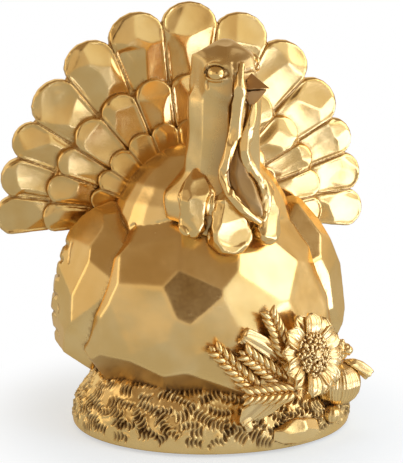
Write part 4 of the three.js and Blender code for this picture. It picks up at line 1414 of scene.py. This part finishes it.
@dataclass
class Tail(SubAssembly):
    """The fan of three rows of feathers; lengths in millimetres, angles in degrees from upright."""

    centre_x: float = -3.0
    centre_z: float = 109.0
    turn: float = 0.8
    grooves: tuple[float, ...] = (8.2, 24.6, 41.0, 57.4, 70.0, 82.6, 95.2)
    feathers: int = 13
    ridge_place: float = 1.1
    ridge_width: float = 0.5
    ridge_height: float = 0.45
    fill: float = 0.22
    facet_size: float = 15.0
    facet_lean: float = 7.5
    facet_depth: float = 1.2
    groove_depth: float = 0.3
    # Antiquing and painted shade in the grooves between feathers.
    groove_wash_and_shade: float = 0.85
    # Painted shade on the sunk floor seen through the grooves.
    floor_shade: float = 0.9

    def groove_distance(self, places: Array) -> Array:
        """Measures how far each place is from the nearest groove between feathers, in millimetres.

        Args:
            places: The places in metres.

        Returns:
            The distances.
        """
        x, z = places[:, 0] / MM - self.centre_x, places[:, 2] / MM - self.centre_z
        angle = np.abs(np.degrees(np.arctan2(x, z)) - self.turn)
        gap = np.abs(angle[:, None] - np.array(self.grooves)).min(axis=1)
        return np.hypot(x, z) * np.sin(np.radians(np.minimum(gap, 90.0)))

    def feather(self, node: str, voxel: float, seed: int) -> Casting:
        """Carves one casting of the fan.

        Args:
            node: Its solid.
            voxel: Its mesh size in millimetres.
            seed: Picks its unevenness.

        Returns:
            The casting.
        """
        made = Casting.over([node], voxel, Slot.TAIL).relax(2)
        free = ease(0.6, 0.9, np.abs(made.normals[:, 1]))
        made.facet(self.facet_size, seed, self.facet_lean, self.facet_depth, free)
        made.relax(2, 0.5 * free).weather(seed, swell=0.25, dimple=0.04)
        near = self.groove_distance(made.points)
        ridge = self.ridge_height * np.exp(-((near - self.ridge_place) / self.ridge_width) ** 2)
        # Darkened towards the grooves with antiquing and painted shade.
        made.wash_and_shade_level = self.groove_wash_and_shade * (1 - ease(0.2, 0.6, near))
        return made.push((self.fill + ridge * ease(0.3, 0.8, np.abs(made.normals[:, 1]))) * MM)

    def build(self) -> None:
        """Builds the feathers and the floor of the grooves between them, darkened with painted shade."""
        self.keep(self.feather("tail_root", voxel=0.7, seed=90))
        numbers = range(1, self.feathers + 1)
        for number in numbers:
            self.keep(self.feather(f"tail_middle_{number:02d}", voxel=0.75, seed=100 + number))
            self.keep(self.feather(f"tail_outer_{number:02d}", voxel=0.8, seed=120 + number))
        rows = [f"tail_{row}_{number:02d}" for row in ("outer", "middle") for number in numbers]
        floor = Casting.over(rows, voxel=1.3, slot=Slot.TAIL).relax(2)
        near = self.groove_distance(floor.points)
        # The groove floor is a sunk sheet behind the gaps, darkened near the grooves with painted shade.
        floor.wash_and_shade_level = self.floor_shade * (1 - ease(0.2, 0.65, near))
        self.keep(floor.push(-(self.groove_depth + 1.5 * ease(0.8, 2.0, near)) * MM))


@dataclass
class Bunch(SubAssembly):
    """The harvest bunch: flower, ears of wheat, husk, leaf, fruit and berries; lengths in millimetres."""

    flower_bearing: float = 30.0
    flower_lift: float = 16.0
    disc_floor: float = 3.0
    disc_radius: float = 11.8
    disc_rise: float = 7.0
    petals: int = 13
    petal_root: float = 7.5
    petal_reach: float = 22.5
    petal_half_width: float = 6.0
    petal_lift: float = 4.2
    petal_stagger: float = 1.2
    petal_bow: float = 3.4
    petal_droop: float = 2.2
    petal_cup: float = 1.5
    petal_groove: float = 0.42
    petal_thickness: float = 1.5
    seeds: int = 120
    curl_sizes: Span = (0.8, 1.4)
    seed_half_widths: tuple[float, ...] = (0.35, 0.9, 1.0, 1.0, 0.8, 0.3)
    seed_shares: Span = (0.7, 0.92)
    ears: tuple[str, ...] = ("wheat_low", "wheat_high", "wheat_front", "wheat_upright")
    kernel_pairs: int = 7
    kernel_length: float = 10.5
    kernel_spreads: Span = (0.58, 0.7)
    kernel_lifts: Span = (0.05, 0.2)
    bed_depth: float = 3.4
    ear_half_widths: tuple[float, ...] = (1.4, 2.2, 2.6, 2.5, 2.2, 1.7, 0.4)
    # Each ring's radius and its height above the disc.
    button: tuple[Span, ...] = ((2.7, -1.0), (2.9, 0.2), (2.4, 0.9), (1.3, 1.2), (0.3, 1.0))
    # Each solid, its count of ridges, half their height, and whether they run upright.
    ridged_pieces: tuple[tuple[str, int, float, bool], ...] = (
        ("husk", 9, 0.35, False), ("curled_leaf", 10, 0.4, False), ("pumpkin", 45, 0.16, True),
        ("pumpkin_stem", 6, 0.3, False), ("nut", 11, 0.12, True))
    # Antiquing and painted shade in the troughs between ridges.
    ridge_wash_and_shade: float = 0.7
    swirl_size: float = 3.2
    swirl_turns: float = 7.0
    swirl_height: float = 0.28
    # Antiquing and painted shade in the troughs of the berry swirls.
    swirl_wash_and_shade: float = 0.6

    def flower_frame(self) -> tuple[Array, Array]:
        """Finds the flower's middle and its own three axes.

        Returns:
            The middle in millimetres and the axes as rows.
        """
        facing = heading(self.flower_bearing, self.flower_lift)
        across = unit(np.cross(UP, facing))
        points = node_points("flower_disc") / MM
        depth = points @ facing
        floor = points[depth < depth.min() + 0.01].mean(axis=0)
        return floor - facing * self.disc_floor, np.stack([across, np.cross(facing, across), facing])

    def petal_ring(self) -> Casting:
        """Makes the cupped, grooved petals.

        Returns:
            The petals.
        """
        middle, axes = self.flower_frame()
        chance = np.random.default_rng(17)
        clay = Clay()
        share = np.linspace(0.0, 1.0, 13)
        span = np.linspace(-1.0, 1.0, 13)
        full = 0.55 + 0.45 * np.sin(math.pi * np.minimum(share * 0.78, 0.6))
        half = self.petal_half_width * (full * (1 - 0.75 * ease(0.8, 1.0, share)))
        cup = self.petal_cup * span ** 2 - self.petal_groove * np.cos(span * 3 * math.pi) * (1 - span ** 2)
        x = np.outer(half, span)
        for index in range(self.petals):
            turn = (index + chance.normal(0.0, 0.07)) / self.petals * 2 * math.pi
            reach = self.petal_reach * chance.uniform(0.94, 1.04)
            radius = self.petal_root + (reach - self.petal_root) * share
            root = self.petal_lift + self.petal_stagger * (index % 2)
            high = root + self.petal_bow * np.sin(math.pi * share * 0.62) - self.petal_droop * share ** 4
            twist = chance.normal(0.0, 0.5)
            top = high[:, None] + np.outer(ease(0.0, 0.4, share), cup) + twist * span
            upper = np.stack([np.broadcast_to(radius[:, None], x.shape), x, top], axis=2)
            under = upper[:, ::-1] - UP * self.petal_thickness
            ring = np.concatenate([upper[:, ::-1], under[:, ::-1]], axis=1)
            clay.tube((middle + spun(ring, turn) @ axes) * MM)
        return Casting("petals", clay.mesh("petals"), Slot.HARVEST, ["flower_petals"])

    def seed_head(self) -> Casting:
        """Makes the curly seeds of the flower's disc and the button in the middle.

        Returns:
            The seed head.
        """
        middle, axes = self.flower_frame()
        chance = np.random.default_rng(23)
        clay = Clay()
        bend = np.linspace(-1.3, 1.3, len(self.seed_half_widths))
        curl = np.stack([np.sin(bend) * 1.15, 1 - np.cos(bend), 0.55 - 0.3 * bend ** 2], axis=1)
        for index in range(self.seeds):
            radius = self.disc_radius * math.sqrt((index + 4) / (self.seeds + 4))
            radius = min(radius + chance.normal(0.0, 0.5), self.disc_radius)
            turn = index * math.pi * (3 - math.sqrt(5)) + chance.normal(0.0, 0.12)
            dome = math.sqrt(max(0.0, 1 - (radius / self.disc_radius) ** 2 * 0.7))
            height = self.disc_floor + self.disc_rise * dome
            place = np.array([radius * math.cos(turn), radius * math.sin(turn), height])
            spin = chance.uniform(0, 2 * math.pi)
            path = place + spun(curl * chance.uniform(*self.curl_sizes), spin)
            taper = np.array(self.seed_half_widths) * chance.uniform(*self.seed_shares)
            clay.tube(sweep((middle + path @ axes) * MM, axes[0] + 0.01, taper * MM, taper * MM, 6))
        ring = np.linspace(0, 2 * math.pi, 14, endpoint=False)
        top = self.disc_floor + self.disc_rise
        rings = [np.stack([r * np.cos(ring), r * np.sin(ring), np.full_like(ring, top + z)], axis=1)
                 for r, z in self.button]
        clay.tube((middle + np.stack(rings) @ axes) * MM)
        return Casting("seed_head", clay.mesh("seed_head"), Slot.HARVEST, ["flower_disc"])

    def ear(self, node: str, seed: int) -> Casting:
        """Makes one ear of wheat with rows of plump kernels.

        Args:
            node: Its solid.
            seed: Picks its variation.

        Returns:
            The ear.
        """
        middle, along = node_axis(node)
        flower = self.flower_frame()[0] * MM
        if np.dot(middle - flower, along) < 0:
            along = -along
        reach = (node_points(node) - middle) @ along
        stem, tip = middle + along * reach.min(), middle + along * reach.max()
        length = reach.max() - reach.min()
        face = heading(12, 20)
        across = unit(np.cross(face, along))
        outward = np.cross(along, across)
        chance = np.random.default_rng(seed)
        clay = Clay()
        share = np.linspace(0.0, 1.0, len(self.ear_half_widths))
        slim = np.array(self.ear_half_widths) * MM
        spine = stem + np.outer(share * 0.96, tip - stem)
        clay.tube(sweep(spine, across, slim, slim, 8))
        bed = spine - outward * self.bed_depth * MM
        clay.tube(sweep(bed, across, slim, np.maximum(1.3 * slim, 2.8 * MM), 8))
        for pair in range(self.kernel_pairs):
            at = 0.04 + 0.76 * pair / (self.kernel_pairs - 1)
            size = (1.08 - 0.35 * at) * self.kernel_length * MM
            root = stem + along * at * length
            for side in (-1, 1):
                spread = across * side * chance.uniform(*self.kernel_spreads)
                lean = unit(along + spread + outward * chance.uniform(*self.kernel_lifts))
                foot = root + across * side * 0.02 * size + outward * 1.3 * MM
                clay.grain(foot, foot + lean * size, np.cross(lean, outward), 0.21 * size, 0.3 * size)
        clay.grain(stem + along * 0.86 * length, tip, across, 1.7 * MM, 1.6 * MM)
        return Casting(node + "_kernels", clay.mesh(node + "_kernels"), Slot.HARVEST, [node])

    def ridged(self, node: str, ridges: int, height: float, upright: bool) -> Casting:
        """Makes a casting with ridges along its length, or from its foot to its top.

        Args:
            node: Its solid.
            ridges: How many ridges go round it.
            height: Half their height in millimetres.
            upright: Whether they run from its foot to its top.

        Returns:
            The casting.
        """
        made = Casting.over([node], voxel=0.5, slot=Slot.HARVEST).relax(4)
        middle, along = node_axis(node)
        along = UP if upright else along
        across = unit(np.cross(along, heading(40, 15)))
        off = made.points - middle
        turn = np.arctan2(off @ np.cross(along, across), off @ across)
        wave = np.cos(ridges * turn + 1.5 * ripple(made.points, 14 * MM, 33))
        # The troughs are darkened with antiquing and painted shade.
        made.wash_and_shade_level = self.ridge_wash_and_shade * ease(0.35, 1.0, -wave)
        return made.push(wave * height * MM)

    def build(self) -> None:
        """Builds the pieces of the bunch."""
        self.keep(self.petal_ring())
        self.keep(Casting.over(["flower_disc"], voxel=0.5, slot=Slot.HARVEST).relax(2))
        self.keep(self.seed_head())
        for seed, node in enumerate(self.ears, 30):
            self.keep(self.ear(node, seed))
        for piece in self.ridged_pieces:
            self.keep(self.ridged(*piece))
        squash = Casting.over(["squash"], voxel=0.6, slot=Slot.HARVEST).relax(3)
        self.keep(squash.facet(size=8.0, seed=81, tilt=5.0).relax(5))
        berries = Casting.over(["berries"], voxel=0.45, slot=Slot.HARVEST).relax(3)
        swirl = np.sin(ripple(berries.points, self.swirl_size * MM, 12) * self.swirl_turns)
        # The swirl troughs are darkened with antiquing and painted shade.
        berries.wash_and_shade_level = self.swirl_wash_and_shade * ease(0.5, 1.0, -swirl)
        self.keep(berries.push(swirl * self.swirl_height * MM))


@dataclass
class Studio:
    """The camera, a pale floor, softboxes and a room that is warm and dim in front; lengths in metres."""

    target: Triple = (0.0, 0.0, 0.115)
    bearing: float = -14.78
    lift: float = 13.97
    distance: float = 1.149
    roll: float = 1.3
    scale: float = 1810.0
    image: tuple[int, int] = (403, 463)
    target_pixel: Span = (207.4, 222.1)
    sensor: float = 36.0
    floor_radius: float = 4.0
    floor_sides: int = 96
    floor_white: float = 0.55
    floor_glow: float = 0.58
    shadow_reach: Span = (0.085, 0.15)
    floor_colour: Colour = (0.45, 0.53, 0.62, 1.0)
    white: Colour = (1.0, 1.0, 1.0, 1.0)
    room_level: Colour = (0.84, 0.725, 0.585, 1.0)
    room_right: Colour = (1.12, 1.12, 1.06, 1.0)
    room_overhead: Colour = (0.37, 0.26, 0.16, 1.0)
    room_camera: Colour = (0.1, 0.05, 0.022, 1.0)
    overhead_rise: Span = (0.3, 0.7)
    # A way is a bearing and a lift in degrees, and a spread is two cosines.
    right_way: Span = (42.0, 18.0)
    right_spread: Span = (0.76, 0.95)
    camera_way: Span = (-17.0, 20.0)
    camera_spread: Span = (0.964, 0.987)
    backdrop_spread: Span = (0.55, 0.95)
    card_place: Triple = (0.58, -0.6, 0.004)

    def camera(self) -> None:
        """Sets the camera up."""
        back = heading(self.bearing, self.lift)
        level = heading(self.bearing + 90)
        upright = np.cross(back, level)
        turn = math.radians(self.roll)
        right = level * math.cos(turn) + upright * math.sin(turn)
        upward = upright * math.cos(turn) - level * math.sin(turn)
        place = np.array(self.target) + self.distance * back
        data = bpy.data.cameras.new("camera")
        longest = max(self.image)
        data.sensor_width = self.sensor
        data.lens = self.scale * self.distance * self.sensor / longest
        data.shift_x = (self.image[0] / 2 - self.target_pixel[0]) / longest
        data.shift_y = (self.target_pixel[1] - self.image[1] / 2) / longest
        thing = add_object("camera", data)
        rows = np.stack([right, upward, back, place], axis=1)
        thing.matrix_world = Matrix((*(Vector(row) for row in rows), Vector((0, 0, 0, 1))))
        bpy.context.scene.camera = thing

    def softbox(self, name: str, place: Array, aim: Array, size: Span, radiance: float,
                colour: Triple) -> bpy.types.Object:
        """Hangs a softbox.

        Args:
            name: Its name.
            place: Where it hangs, in metres.
            aim: What it faces, in metres.
            size: Its width and height in metres.
            radiance: How bright its face is, where 1 is white.
            colour: Its colour.

        Returns:
            The softbox.
        """
        data = bpy.data.lights.new(name, "AREA")
        data.shape = "RECTANGLE"
        data.size, data.size_y = size
        data.energy = radiance * math.pi * size[0] * size[1]
        data.color = colour
        thing = add_object(name, data)
        thing.location = place
        thing.rotation_mode = "QUATERNION"
        thing.rotation_quaternion = Vector(aim - place).to_track_quat("-Z", "Y")
        return thing

    def lights(self) -> None:
        """Hangs the lights: a key on the right, a fill on the left and a card low on the right."""
        aim = np.array(self.target)
        self.softbox("key_softbox", aim + 0.95 * heading(64, 27), aim,
                     size=(0.75, 0.75), radiance=1.75, colour=(0.92, 0.98, 1.08))
        self.softbox("fill_softbox", aim + 1.1 * heading(-92, 12), aim,
                     size=(0.6, 0.9), radiance=0.85, colour=(1.0, 0.87, 0.7))
        card = np.array(self.card_place)
        self.softbox("low_card", card, card + UP, size=(0.8, 1.0), radiance=3.2, colour=(0.86, 0.97, 1.4))
        top = self.softbox("top_softbox", aim + 1.1 * UP, aim,
                           size=(0.5, 0.5), radiance=1.6, colour=(1.0, 1.0, 1.0))
        top.visible_glossy = False

    def towards(self, graph: Graph, ray: Signal, way: Span, spread: Span) -> Signal:
        """Tells how nearly a ray goes along a bearing and a lift, from 0 to 1 over a spread of cosines.

        Args:
            graph: The room's nodes.
            ray: The ray's direction.
            way: The bearing and the lift in degrees.
            spread: The cosines at which it is 0 and 1.

        Returns:
            The share.
        """
        inputs = {0: ray, 1: tuple(heading(*way))}
        near = graph.node("ShaderNodeVectorMath", {"operation": "DOT_PRODUCT"}, inputs, "Value")
        return near.limited(*spread)

    def world(self) -> None:
        """Makes a white backdrop behind the figure and a warm room in front of it, dim overhead."""
        made = bpy.data.worlds.new("room")
        bpy.context.scene.world = made
        made.use_nodes = True
        graph = Graph(made.node_tree)
        ray = graph.node("ShaderNodeTexCoord", output="Generated")
        behind = graph.node("ShaderNodeSeparateXYZ", None, {0: ray}, "Y")
        upward = graph.node("ShaderNodeSeparateXYZ", None, {0: ray}, "Z")
        camera = graph.node("ShaderNodeLightPath", output="Is Camera Ray")
        to_right = self.towards(graph, ray, self.right_way, self.right_spread)
        to_camera = self.towards(graph, ray, self.camera_way, self.camera_spread)
        room = graph.mixed(upward.limited(*self.overhead_rise), self.room_level, self.room_overhead)
        room = graph.mixed(to_right, room, self.room_right)
        room = graph.mixed(to_camera, room, self.room_camera)
        room = graph.mixed(behind.limited(*self.backdrop_spread), room, self.white)
        seen = graph.mixed(camera, room, self.white)
        sky = graph.node("ShaderNodeBackground", None, {"Color": seen, "Strength": 1.0})
        graph.node("ShaderNodeOutputWorld", None, {"Surface": sky})

    def floor(self) -> None:
        """Lays a pale floor that keeps the figure's shadow."""
        turns = np.linspace(0, 2 * math.pi, self.floor_sides, endpoint=False)
        ring = np.stack([np.cos(turns), np.sin(turns), np.zeros_like(turns)], axis=1) * self.floor_radius
        mesh = bpy.data.meshes.new("floor")
        mesh.from_pydata(ring.tolist(), [], [tuple(range(len(ring)))])
        made, graph = Graph.of_material("floor")
        path = graph.node("ShaderNodeLightPath", output="Is Camera Ray")
        glossy = graph.node("ShaderNodeLightPath", output="Is Glossy Ray")
        place = graph.node("ShaderNodeTexCoord", output="Object")
        reach = graph.node("ShaderNodeVectorMath", {"operation": "LENGTH"}, {0: place}, "Value")
        far = reach.limited(*self.shadow_reach)
        glow = path + glossy * self.floor_glow
        pale = graph.node("ShaderNodeBsdfDiffuse", None, {"Color": self.floor_colour})
        dimmed = glow * self.floor_white
        shine = graph.node("ShaderNodeEmission", None, {"Color": self.white, "Strength": dimmed})
        near = graph.node("ShaderNodeAddShader", None, {0: pale, 1: shine})
        white = graph.node("ShaderNodeEmission", None, {"Color": self.white, "Strength": glow})
        surface = graph.node("ShaderNodeMixShader", None, {0: far, 1: near, 2: white})
        graph.node("ShaderNodeOutputMaterial", None, {"Surface": surface})
        mesh.materials.append(made)
        thing = add_object("floor", mesh)

    def build(self) -> None:
        """Sets up the camera, the lights, the room and the floor."""
        bpy.context.scene.view_settings.view_transform = "Standard"
        self.camera()
        self.lights()
        self.world()
        self.floor()


def main() -> None:
    """Builds the figure's sub-assemblies in order and reports each piece."""
    logging.basicConfig(level=logging.INFO, format="%(name)s: %(message)s")
    Studio().build()
    body, head, tail, bunch, mound = Body(), Head(), Tail(), Bunch(), Mound()
    groups = (body, head, tail, bunch, mound)
    for group in groups:
        group.build()
    # Darkening in the hollows of all the pieces: antiquing and painted shade.
    wash_and_shade = WashAndShade(itertools.chain.from_iterable(group.pieces for group in groups))
    paints = {slot: paint.material() for slot, paint in PAINTS.items()}
    for group in groups:
        group.dress(paints, wash_and_shade)


if __name__ == "__main__":
    main()
